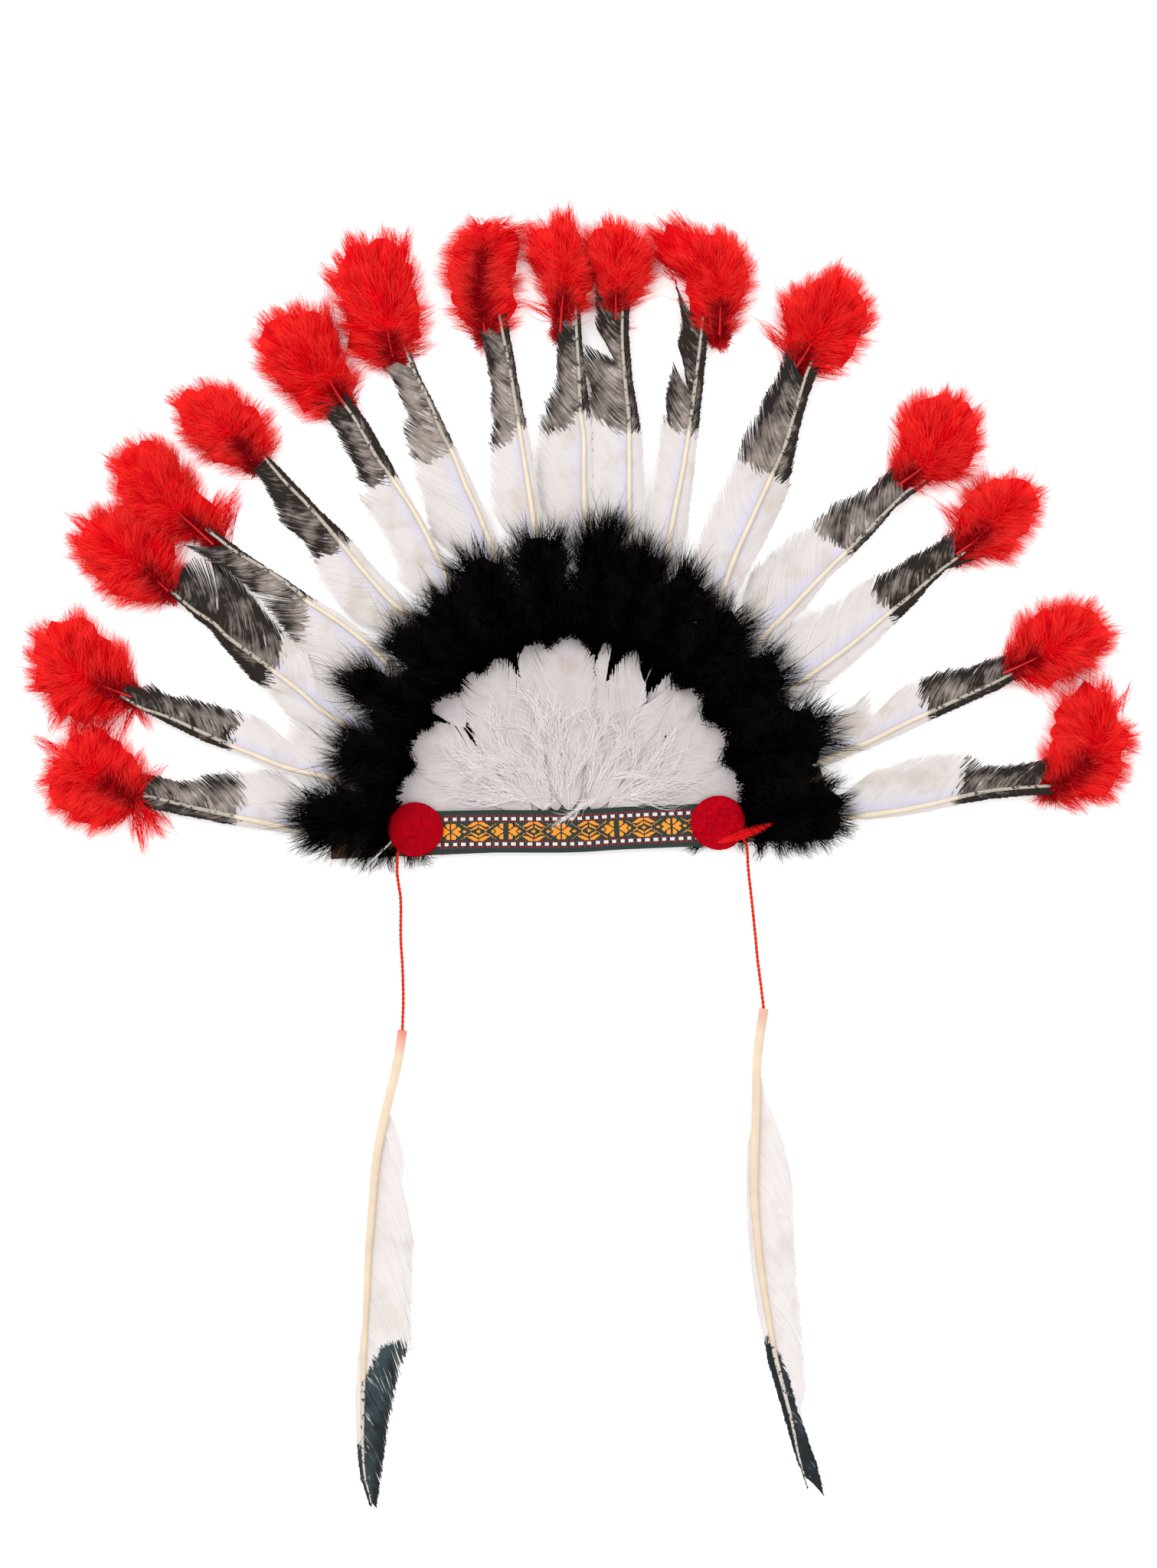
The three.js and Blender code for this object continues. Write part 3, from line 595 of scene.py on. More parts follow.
def smooth_line(points: Points, spacing: float, smooth: bool = True) -> Array:
    """Even points along a line.

    Args:
        points: The line's corners, in millimetres.
        spacing: Distance between the new points.
        smooth: Round the corners, with a curve that still passes through them.

    Returns:
        The new points, one row each.
    """
    rows = np.array(points, dtype=float)
    if smooth and len(rows) > 2:
        ends = np.vstack([2 * rows[0] - rows[1], rows, 2 * rows[-1] - rows[-2]])
        t = np.linspace(0, 1, SPAN_STEPS, endpoint=False)[:, None]
        parts = [
            0.5
            * (2 * b + (c - a) * t + (2 * a - 5 * b + 4 * c - d) * t**2 + (3 * b - a - 3 * c + d) * t**3)
            for a, b, c, d in zip(ends, ends[1:], ends[2:], ends[3:])
        ]
        rows = np.vstack([*parts, rows[-1:]])
    lengths = arc_lengths(rows)
    wanted = np.linspace(0, lengths[-1], max(2, round(lengths[-1] / spacing) + 1))
    return np.stack([np.interp(wanted, lengths, column) for column in rows.T], axis=1)


def arc_lengths(rows: Array) -> Array:
    """Distance along a line to each of its points."""
    return np.concatenate([[0.0], np.cumsum(np.linalg.norm(np.diff(rows, axis=0), axis=1))])


def unit(rows: Array) -> Array:
    """Rows scaled to a length of 1."""
    return rows / np.maximum(np.linalg.norm(rows, axis=-1, keepdims=True), 1e-9)


def heading(angle: Array | float) -> Array:
    """Plane vectors of length 1 at angles in radians, anticlockwise from +X."""
    return np.stack([np.cos(angle), np.sin(angle)], axis=-1)


def turned(rows: Array, angle: Array | float) -> Array:
    """Plane vectors turned anticlockwise by an angle in radians."""
    c, s = np.cos(angle), np.sin(angle)
    return np.stack([c * rows[:, 0] - s * rows[:, 1], s * rows[:, 0] + c * rows[:, 1]], axis=1)


def scaled(rows: Array, sizes: Array) -> Array:
    """Each row times its own size."""
    return rows * sizes[:, None]


def stretched(points: Points, before: float, after: float) -> Array:
    """Line with a straight length added at each end."""
    rows = np.array(points, dtype=float)
    first = rows[0] - unit(rows[1] - rows[0]) * before
    last = rows[-1] + unit(rows[-1] - rows[-2]) * after
    return np.vstack([*([first] if before else []), rows, *([last] if after else [])])


def ray_hits(origins: Array, ways: Array, edge: Array) -> tuple[Array, Array]:
    """Where rays in the plane meet a line.

    Args:
        origins: Start of each ray.
        ways: Direction of each ray, of length 1.
        edge: Corners of the line.

    Returns:
        Each ray's length, infinite where it misses, and how far along the line it meets it.
    """
    step = np.diff(edge, axis=0)
    size = np.linalg.norm(step, axis=1)
    gap = edge[None, :-1] - origins[:, None]
    cross = ways[:, None, 0] * step[None, :, 1] - ways[:, None, 1] * step[None, :, 0]
    cross = np.where(np.abs(cross) < 1e-9, 1e-9, cross)
    reach = (gap[..., 0] * step[None, :, 1] - gap[..., 1] * step[None, :, 0]) / cross
    share = (gap[..., 0] * ways[:, None, 1] - gap[..., 1] * ways[:, None, 0]) / cross
    reach = np.where((share >= 0) & (share <= 1) & (reach > 0.3), reach, np.inf)
    pick = np.argmin(reach, axis=1)
    rows = np.arange(len(origins))
    return reach[rows, pick], arc_lengths(edge)[:-1][pick] + share[rows, pick] * size[pick]


def nearest(points: Array, line: Array) -> tuple[Array, Array]:
    """Index of the nearest point of a line to each point, and its distance."""
    gaps = np.linalg.norm(points[:, None] - line[None], axis=2)
    return gaps.argmin(axis=1), gaps.min(axis=1)


def clear_share(root: Array, run: Array, gaps: Gaps) -> Array:
    """Share of each barb that stays clear of wedge-shaped gaps.

    Args:
        root: Where the barbs start.
        run: From each start to its end.
        gaps: The wedges, each as its point, the middle of its mouth and half its mouth's width.

    Returns:
        One share for each barb, 1 where it meets no gap.
    """
    share = np.ones(len(root))
    for point, mouth, half in gaps:
        axis = np.array(mouth, dtype=float) - point
        length = float(np.hypot(*axis))
        axis /= length
        for step in np.linspace(1, 0, GAP_STEPS):
            offset = root + run * step - point
            depth = offset @ axis
            aside = np.abs(offset @ np.array([-axis[1], axis[0]]))
            inside = (depth > 0) & (depth < length) & (aside < half * depth / length)
            share[inside] = np.minimum(share[inside], step)
    return share


def clear_of(discs: Points, *spots: Array) -> Array:
    """Which rows have all their spots outside every disc, given as x, y and radius."""
    keep = np.ones(len(spots[0]), dtype=bool)
    for x, y, radius in discs:
        for spot in spots:
            keep &= np.hypot(spot[:, 0] - x, spot[:, 1] - y) > radius
    return keep


def mesh_object(
    name: str, corners: Array, faces: Points = (), edges: Points = (), **attributes: Array
) -> Piece:
    """Object with a mesh at the origin.

    Args:
        name: Name of the object and the mesh.
        corners: Points in millimetres.
        faces: Corner numbers of each face.
        edges: Corner numbers of each edge.
        attributes: Values for each point.

    Returns:
        The new object.
    """
    mesh = bpy.data.meshes.new(name)
    mesh.from_pydata((np.asarray(corners) * MM).tolist(), edges, faces)
    for key, values in attributes.items():
        values = np.asarray(values, dtype=np.float32)
        kind, field_name = ("FLOAT_VECTOR", "vector") if values.ndim == 2 else ("FLOAT", "value")
        mesh.attributes.new(key, kind, "POINT").data.foreach_set(field_name, values.ravel())
    made = bpy.data.objects.new(name, mesh)
    bpy.context.scene.collection.objects.link(made)
    return made


def line_object(name: str, line: Array, **attributes: Array) -> Piece:
    """Object with a line's points and the edges between them."""
    return mesh_object(name, line, edges=[(i, i + 1) for i in range(len(line) - 1)], **attributes)


def round_body(
    name: str, rings: Sequence[Array], top: Array, under: Array, tone: float, material: Material
) -> Piece:
    """Closed smooth body of rings of points, from the inner one on top round to the last below.

    Args:
        name: Name of the object.
        rings: The rings, with as many points each.
        top: Point that closes the first ring.
        under: Point that closes the last one.
        tone: Its value of the attribute tone.
        material: Its material.

    Returns:
        The new object.
    """
    turns = len(rings[0])
    corners = np.vstack([*rings, top, under])
    hub, last = len(rings) * turns, (len(rings) - 1) * turns
    faces = []
    for start in range(0, last, turns):
        for side in range(turns):
            a, b = start + side, start + (side + 1) % turns
            faces.append((b, a, a + turns, b + turns))
    for side in range(turns):
        after = (side + 1) % turns
        faces += [(hub, side, after), (hub + 1, last + after, last + side)]
    body = mesh_object(name, corners, faces, tone=np.full(len(corners), tone))
    body.data.materials.append(material)
    body.data.shade_smooth()
    return body


def joined(name: str, parts: list[Piece]) -> Piece:
    """One object from several, under a new name."""
    first = parts[0]
    with bpy.context.temp_override(
        active_object=first, object=first, selected_editable_objects=parts, selected_objects=parts
    ):
        bpy.ops.object.join()
    first.name = name
    first.data.name = name
    return first


def dress(piece: Piece, slot: str, node: str) -> Piece:
    """Name a finished piece after the node that it replaces and fix it to the headdress.

    Args:
        piece: The finished object.
        slot: Not used.
        node: CAD node that it replaces.

    Returns:
        The same object.
    """
    piece.name = f"{node}_dressed"
    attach(piece, BODY)
    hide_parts(node)
    LOG.info("%s: %d faces", piece.name, len(piece.data.polygons))
    return piece


@dataclass
class Strands:
    """Barbs to grow: where each starts, how it runs and how wide it is, in millimetres."""

    root: Array
    run: Array
    bend: Array
    wide: Array
    tilt: Array
    more: dict[str, Array] = field(default_factory=dict)

    def kept(self, keep: Array) -> Strands:
        """The strands that a mask keeps."""
        rows = (self.root, self.run, self.bend, self.wide, self.tilt)
        return Strands(*(row[keep] for row in rows), {key: row[keep] for key, row in self.more.items()})

    def grow(self, name: str, kit: Kit, material: str, **sizes: float) -> Piece:
        """Make the barbs' mesh.

        Args:
            name: Name of the object.
            kit: The trees and the materials.
            material: Name of their material.
            sizes: Values for the tree's inputs.

        Returns:
            The object, with a plain mesh.
        """
        lengths = {"run": self.run * MM, "bend": self.bend * MM, "wide": self.wide * MM}
        points = mesh_object(name, self.root, **lengths, tilt=self.tilt, **self.more)
        return kit.strands.bake(points, kit.materials[material], **sizes)


def tube(
    name: str, line: Array, radius: Array, kit: Kit, material: str, sides: int = 8, **more: Array
) -> Piece:
    """Round tube along a line in millimetres."""
    source = line_object(name, line, wide=np.asarray(radius, dtype=float) * MM, **more)
    return kit.tubes.bake(source, kit.materials[material], Sides=sides)


# ------------------------------------------------------------------ feathers


@dataclass(frozen=True)
class FeatherShape:
    """One feather's lines in the plane, from its root to its tip.

    left and right are as seen along the way that it points. paint holds a point on the
    quill and one on the broad edge where the paint starts, narrow_paint one on the quill
    where it starts on the narrow side, and cover how solid it is.
    """

    quill: Points
    left: Points
    right: Points
    paint: Points | None = None
    cover: float = 0.5
    broad_left: bool = True
    narrow_paint: Sequence[float] | None = None


@dataclass(frozen=True)
class FeatherBuild:
    """How a kind of feather is made."""

    spacing: float = 0.85
    width: float = 1.15
    broad_angle: float = 38.0
    narrow_angle: float = 24.0
    longest: float = 70.0
    arch: float = 0.1
    ragged: float = 0.03
    root_length: float = 22.0
    tip_length: float = 12.0
    quill_root: float = 1.9
    quill_tip: float = 0.8
    quill_power: float = 1.0
    droop: float = 1.2
    splits: int = 0
    split_width: float = 1.6
    gaps: Gaps = ()


class Feather:
    """A feather of barbs along a quill."""

    def __init__(
        self, node: str, shape: FeatherShape, build: FeatherBuild,
        height: Callable[[Array], Array], seed: int,
    ) -> None:
        """Prepare the feather's lines.

        Args:
            node: CAD node that it replaces.
            shape: Its lines in the plane.
            build: How it is made.
            height: Height of the quill's middle for each share of its length.
            seed: Seed of its random draws.
        """
        self.node, self.shape, self.build = node, shape, build
        self.rng = np.random.default_rng(seed)
        self.phase = self.rng.uniform(0, 900)
        self.line = smooth_line(stretched(shape.quill, build.root_length, build.tip_length), build.spacing)
        self.place = arc_lengths(self.line)
        self.height = height(self.place / self.place[-1])

    def paint_start(self, broad: bool = True) -> float:
        """How far along the quill the paint starts on its broad or its narrow side."""
        if self.shape.paint is None:
            return NO_PAINT
        spot = self.shape.paint[0] if broad else self.shape.narrow_paint or self.shape.paint[0]
        index, _ = nearest(np.array([spot]), self.line)
        return float(self.place[index[0]])

    def side(self, left: bool) -> Strands:
        """Barbs on one side of the quill."""
        shape, build, rng = self.shape, self.build, self.rng
        broad = left == shape.broad_left
        edge = stretched(shape.left if left else shape.right, build.root_length, build.tip_length)
        ahead = unit(np.gradient(self.line, axis=0))
        angle = math.radians(build.broad_angle if broad else build.narrow_angle)
        way = turned(ahead, angle if left else -angle)
        length, met = ray_hits(self.line, way, edge)
        keep = np.isfinite(length) & (length < build.longest)
        for spot in rng.uniform(0.25, 0.9, build.splits) * self.place[-1]:
            keep &= (self.place < spot) | (self.place > spot + build.split_width)
        rows = (self.line, way, length, met, ahead, self.place, self.height)
        root, way, length, met, ahead, place, height = (row[keep] for row in rows)
        count = len(root)
        length = length * (1 + rng.normal(0, build.ragged, count)) + rng.normal(0, 0.4, count)
        length = length * clear_share(root, scaled(way, length), build.gaps)
        drop = build.droop * (length / DROOP_LENGTH) ** 2
        run = np.column_stack([scaled(way, length), -np.minimum(drop, height - FLOOR_Z - 0.3)])
        bend = np.column_stack([scaled(-ahead, length * build.arch), np.full(count, 0.3)])
        start = tip_start = self.paint_start(broad)
        if shape.paint is not None and broad:
            fine = smooth_line(edge, 0.5, smooth=False)
            index, _ = nearest(np.array([shape.paint[1]]), fine)
            tip_start = float(arc_lengths(fine)[index[0]])
        elif shape.paint is not None:
            met = place + length * math.cos(angle)
        tilt = rng.normal(0.09 if left else -0.09, 0.04, count)
        more = {
            "paint_root": np.clip(place - start, *PAINT_RANGE),
            "paint_tip": np.clip(met - tip_start, *PAINT_RANGE),
            "shade": place + rng.normal(0, 0.25, count) + (0.0 if left else SIDE_SHADE) + self.phase,
            "cover": np.full(count, shape.cover + (0.0 if broad else 0.4)),
        }
        return Strands(np.column_stack([root, height]), run, bend, np.full(count, build.width), tilt, more)

    def quill(self, kit: Kit, material: str, tinge: float) -> Piece:
        """The quill's tube."""
        build = self.build
        share = (self.place / self.place[-1]) ** build.quill_power
        radius = build.quill_root + (build.quill_tip - build.quill_root) * share
        line = np.column_stack([self.line, self.height + 0.35 * radius])
        tinged = tinge * np.clip(1.2 - self.place / TINGE_LENGTH, 0, 1)
        rows = (line, radius, self.place - self.paint_start(), tinged)
        line, radius, paint, tinged = (row[::3] for row in rows)
        return tube(f"{self.node}_quill", line, radius, kit, material, paint=paint, tinge=tinged)

    def make(self, kit: Kit, vane: str, quill: str, tinge: float = 0.0) -> Piece:
        """The whole feather as one object.

        Args:
            kit: The trees and the materials.
            vane: Name of its barbs' material.
            quill: Name of its quill's material.
            tinge: How red the quill's root is.

        Returns:
            The new object, named after its node.
        """
        parts = [self.quill(kit, quill, tinge)]
        for left in (True, False):
            strands = self.side(left)
            if len(strands.root):
                parts.append(strands.grow(f"{self.node}_side", kit, vane, **VANE_BARBS))
        return joined(self.node, parts)


# rows run from the left end of the ring to its right end
LONG_FEATHERS = (
    FeatherShape(
        quill=((-165, 1), (-200, 8.5), (-225, 14), (-250, 20), (-258, 21)),
        left=((-170, -1), (-200, 3.5), (-210, 5), (-230, 9), (-250, 13), (-256, 15)),
        right=(
            (-160, 33), (-172, 35), (-190, 36), (-200, 34.5), (-218, 34), (-225, 30), (-236, 30),
            (-250, 33), (-255, 34),
        ),
        paint=((-201, 9), (-201, 34)), cover=0.4, broad_left=False,
    ),
    FeatherShape(
        quill=(
            (-138, 30), (-150, 33), (-170, 38), (-190, 46), (-200, 50), (-220, 59), (-240, 68), (-255, 73),
            (-262, 77),
        ),
        left=((-136, 25), (-150, 29), (-170, 34), (-200, 47), (-220, 54), (-240, 64), (-255, 72)),
        right=(
            (-140, 58), (-156, 64), (-169, 68), (-171, 56), (-174, 54), (-178, 60), (-182, 67),
            (-190, 69.5), (-200, 72), (-205, 73), (-215, 76), (-228, 80), (-237, 80), (-245, 83),
            (-251, 89), (-256, 85), (-265, 87),
        ),
        paint=((-203, 51), (-200, 72)), cover=0.7, broad_left=False,
    ),
    FeatherShape(
        quill=(
            (-136, 64), (-150, 73), (-160, 82), (-178, 96), (-190, 105), (-205, 116), (-213, 124),
            (-225, 132), (-236, 141), (-243, 147),
        ),
        left=(
            (-134, 46), (-150, 55), (-160, 62), (-170, 70), (-178, 78), (-192, 92), (-200, 101),
            (-210, 113), (-215, 120), (-225, 128), (-235, 138),
        ),
        right=(
            (-110, 75), (-130, 92), (-150, 105), (-165, 112), (-178, 124), (-185, 133), (-195, 146),
            (-208, 159), (-222, 166), (-236, 156),
        ),
        paint=((-178, 96), (-172, 118)), cover=0.65, broad_left=False,
    ),
    FeatherShape(
        quill=(
            (-105, 95), (-122, 112), (-140, 126), (-157, 137), (-163, 143), (-180, 155), (-200, 167),
            (-212, 176),
        ),
        left=(
            (-113, 75), (-130, 84), (-145, 92), (-160, 108), (-172, 122), (-184, 137), (-195, 148),
            (-208, 158), (-221, 165),
        ),
        right=((-103, 99), (-120, 116), (-138, 130), (-157, 141), (-165, 147), (-190, 163), (-211, 178)),
        paint=((-158, 138), (-164, 116)), cover=0.4,
    ),
    FeatherShape(
        quill=(
            (-97, 128), (-110, 140), (-125, 157), (-138, 173), (-150, 187), (-160, 198), (-170, 208),
            (-182, 222),
        ),
        left=(
            (-105, 119), (-120, 121), (-130, 127), (-140, 137), (-150, 150), (-152, 158), (-158, 172),
            (-165, 178), (-174, 185), (-175, 190), (-180, 202), (-185, 210), (-191, 217),
        ),
        right=((-92, 131), (-100, 140), (-115, 155), (-132, 175), (-150, 192), (-165, 208), (-181, 224)),
        paint=((-138, 173), (-150, 163)), cover=0.8,
    ),
    FeatherShape(
        quill=(
            (-73, 150), (-80, 165), (-93, 190), (-107, 211), (-115, 222), (-123, 236), (-130, 248),
            (-136, 256),
        ),
        left=(
            (-92, 140), (-97, 147), (-103, 150), (-105, 160), (-110, 175), (-120, 190), (-127, 200),
            (-120, 204), (-126, 210), (-128, 218), (-135, 228), (-140, 240), (-148, 250),
        ),
        right=((-66, 150), (-70, 155), (-85, 180), (-103, 212), (-112, 228), (-122, 245), (-130, 256)),
        paint=((-107, 211), (-124, 207)), cover=0.65,
    ),
    FeatherShape(
        quill=(
            (-48, 172), (-55, 190), (-62, 205), (-70, 225), (-77, 238), (-85, 258), (-92, 272), (-97, 284),
        ),
        left=(
            (-74, 158), (-78, 165), (-84, 180), (-87, 195), (-92, 210), (-95, 222), (-97, 232), (-100, 243),
            (-97, 250), (-101, 258), (-105, 268), (-112, 280),
        ),
        right=((-43, 172), (-46, 178), (-55, 200), (-68, 228), (-75, 242), (-88, 268), (-96, 286)),
        paint=((-70, 229), (-94, 222)), cover=0.1,
    ),
    FeatherShape(
        quill=((-22, 185), (-25, 205), (-29, 230), (-32, 250), (-36, 275), (-41, 300)),
        left=(
            (-44, 178), (-46, 190), (-48, 205), (-48, 230), (-46, 247), (-48, 252), (-47, 262), (-49, 275),
            (-52, 290), (-54, 298),
        ),
        right=((-17, 185), (-19, 200), (-24, 232), (-28, 250), (-32, 272), (-37, 300)),
        paint=((-29, 243), (-48, 228)), cover=0.4,
    ),
    FeatherShape(
        quill=((9, 185), (8, 210), (8, 235), (6, 250), (5, 275), (3, 310)),
        left=(
            (-16, 180), (-19, 205), (-19, 225), (-18, 240), (-18, 245), (-15, 250), (-13, 258), (-9, 268),
            (-8, 275), (-8, 290), (-7, 300),
        ),
        right=((14, 185), (14, 210), (13, 230), (12, 250), (9, 270), (7, 290), (6, 310)),
        paint=((6, 250), (-18, 239)), cover=0.35,
    ),
    FeatherShape(
        quill=((35, 175), (35, 240), (33, 265), (31, 290), (31, 306)),
        left=(
            (13, 180), (13, 200), (13, 250), (11, 255), (12, 268), (8, 275), (8, 292), (16, 287), (27, 281),
            (15, 302), (15, 322),
        ),
        right=((43, 175), (44, 190), (44, 215), (42, 240), (40, 252), (37, 270), (35, 295), (35, 310)),
        paint=((33, 239), (13, 252)), cover=0.45,
    ),
    FeatherShape(
        quill=((58, 168), (62, 190), (67, 215), (71, 240), (75, 270), (78, 295), (79, 303)),
        left=(
            (43, 175), (47, 190), (50, 205), (52, 225), (55, 243), (58, 250), (57, 260), (60, 272),
            (62, 281), (67, 272), (69, 269), (67, 285), (64, 290), (67, 305), (65, 317),
        ),
        right=((67, 168), (70, 180), (73, 205), (76, 235), (78, 255), (81, 285), (82, 297)),
        paint=((71, 240), (57, 243)), cover=0.5,
    ),
    FeatherShape(
        quill=(
            (90, 142), (100, 168), (110, 190), (120, 212), (128, 230), (134, 250), (140, 270), (143, 278),
        ),
        left=(
            (66, 150), (72, 163), (78, 175), (85, 195), (95, 213), (100, 225), (105, 238), (112, 248),
            (115, 258), (123, 270), (127, 282),
        ),
        right=(
            (102, 146), (109, 160), (120, 180), (129, 200), (134, 225), (138, 245), (143, 262), (148, 276),
        ),
        paint=((121, 213), (101, 227)), cover=0.5,
    ),
    FeatherShape(
        quill=((118, 119), (130, 131), (150, 152), (165, 167), (180, 182), (200, 202), (206, 206)),
        left=(
            (92, 131), (98, 140), (105, 150), (112, 158), (125, 170), (133, 179), (140, 180), (148, 186),
            (158, 196), (168, 200), (177, 205), (178, 202), (185, 210), (194, 219),
        ),
        right=(
            (118, 112), (125, 118), (140, 133), (155, 152), (165, 161), (180, 177), (195, 194), (207, 203),
        ),
        paint=((165, 167), (148, 185)), cover=0.45,
    ),
    FeatherShape(
        quill=((133, 86), (150, 98), (170, 113), (190, 130), (205, 142), (220, 155), (232, 164)),
        left=(
            (118, 112), (128, 120), (140, 127), (150, 133), (165, 140), (170, 146), (180, 151), (195, 158),
            (205, 165), (215, 170), (226, 178),
        ),
        right=(
            (138, 76), (150, 85), (165, 97), (180, 110), (195, 125), (205, 135), (215, 147), (225, 157),
            (240, 162),
        ),
        paint=((192, 131), (182, 151)), cover=0.85,
    ),
    FeatherShape(
        quill=((165, 48), (180, 54), (200, 64), (215, 71), (230, 78), (250, 87), (262, 93)),
        left=(
            (150, 64), (160, 70), (172, 77), (180, 85), (181, 66), (185, 72), (192, 80), (200, 87),
            (211, 91), (220, 95), (240, 98), (250, 103), (262, 105),
        ),
        right=((158, 41), (165, 44), (190, 54), (215, 66), (235, 75), (255, 84), (265, 90)),
        paint=((213, 71), (211, 91)), cover=0.7,
    ),
    FeatherShape(
        quill=((174, 9), (195, 12), (215, 16), (231, 20), (250, 24), (270, 26), (288, 27)),
        left=(
            (160, 33), (175, 36), (190, 38), (200, 42), (207, 44), (220, 46), (236, 46), (243, 42),
            (248, 39), (260, 39), (275, 41), (287, 43),
        ),
        right=((160, 6), (174, 7), (195, 8.5), (215, 12), (232, 16), (250, 19), (270, 21), (288, 22)),
        paint=((231, 20), (240, 45)), cover=0.6,
    ),
)


@dataclass
class LongFeathers:
    """The ring of sixteen long feathers."""

    root_height: float = 4.2
    overlap_lift: float = 2.9
    arch: float = 3.2
    tip_drop: float = 0.9

    def height(self, index: int) -> Callable[[Array], Array]:
        """Height of a quill along its length; every other one rides over its neighbours."""
        base = self.root_height + (self.overlap_lift if index % 2 else 0.0)

        def at(share: Array) -> Array:
            """Rise to the middle, then a slight fall."""
            rise = np.interp(share, [0.0, 0.2, 0.6, 1.0], [0.0, 0.3, 1.0, 1.0]) * self.arch
            return base + rise - self.tip_drop * np.clip((share - 0.6) / 0.4, 0, 1)

        return at

    def build(self, kit: Kit) -> list[Piece]:
        """Make and place every feather."""
        made = []
        for index, shape in enumerate(LONG_FEATHERS):
            node = f"long_feather_{index + 1:02d}"
            feather = Feather(node, shape, FeatherBuild(), self.height(index), seed=100 + index)
            made.append(dress(feather.make(kit, "long_vane", "quill"), "long_feather", node))
        return made


# ------------------------------------------------------------------ down


@dataclass(frozen=True)
class Tuft:
    """A soft tuft: its outline, its bare stem and its height, in millimetres.

    reach is the outline's distance from the centre at even angles, anticlockwise from +X.
    The stem runs from the base to the top in a valley as wide as valley, sunk in and darker
    with painted shade, which fades out past dark_to of its length. wisps are the ends of stray locks.
    """

    centre: Sequence[float]
    reach: Sequence[float]
    stem: Points
    wisps: Points = ()
    valley: float = 6.5
    dark_to: float = 0.55
    low: float = FLOOR_Z
    high: float = 24.0

    def outline(self, angle: Array) -> Array:
        """Distance from the centre to the outline in each direction."""
        row = np.array([*self.reach, self.reach[0]], dtype=float)
        place = (angle % FULL) / FULL * len(self.reach)
        low = np.floor(place).astype(int)
        ease = (1 - np.cos((place - low) * math.pi)) / 2
        return row[low] * (1 - ease) + row[np.minimum(low + 1, len(self.reach))] * ease

    def point(self, angle: Array, share: Array) -> Array:
        """Plane points at a share of the way to the outline."""
        return np.array(self.centre) + scaled(heading(angle), self.outline(angle) * share)

    def share_of(self, place: Array) -> Array:
        """Share of the way from the centre to the outline."""
        out = place - np.array(self.centre)
        return np.linalg.norm(out, axis=1) / self.outline(np.arctan2(out[:, 1], out[:, 0]))


@dataclass(frozen=True)
class DownBuild:
    """How a kind of down is made."""

    locks: int = 200
    each: int = 20
    scatter: float = 2.6
    length: tuple[float, float] = (14.0, 26.0)
    width: float = 0.5
    fringe: float = 4.0
    lift: float = 4.0
    valley: float = 6.0
    fill: float = 0.86
    forward: float = 6.0
    rim_share: float = 0.25
    base_locks: int = 10
    base_reach: float = 6.0
    dome_power: float = 2.6
    outer_share: float = 0.85
    core_turns: int = 36
    core_rings: int = 9
    away: Points = ()


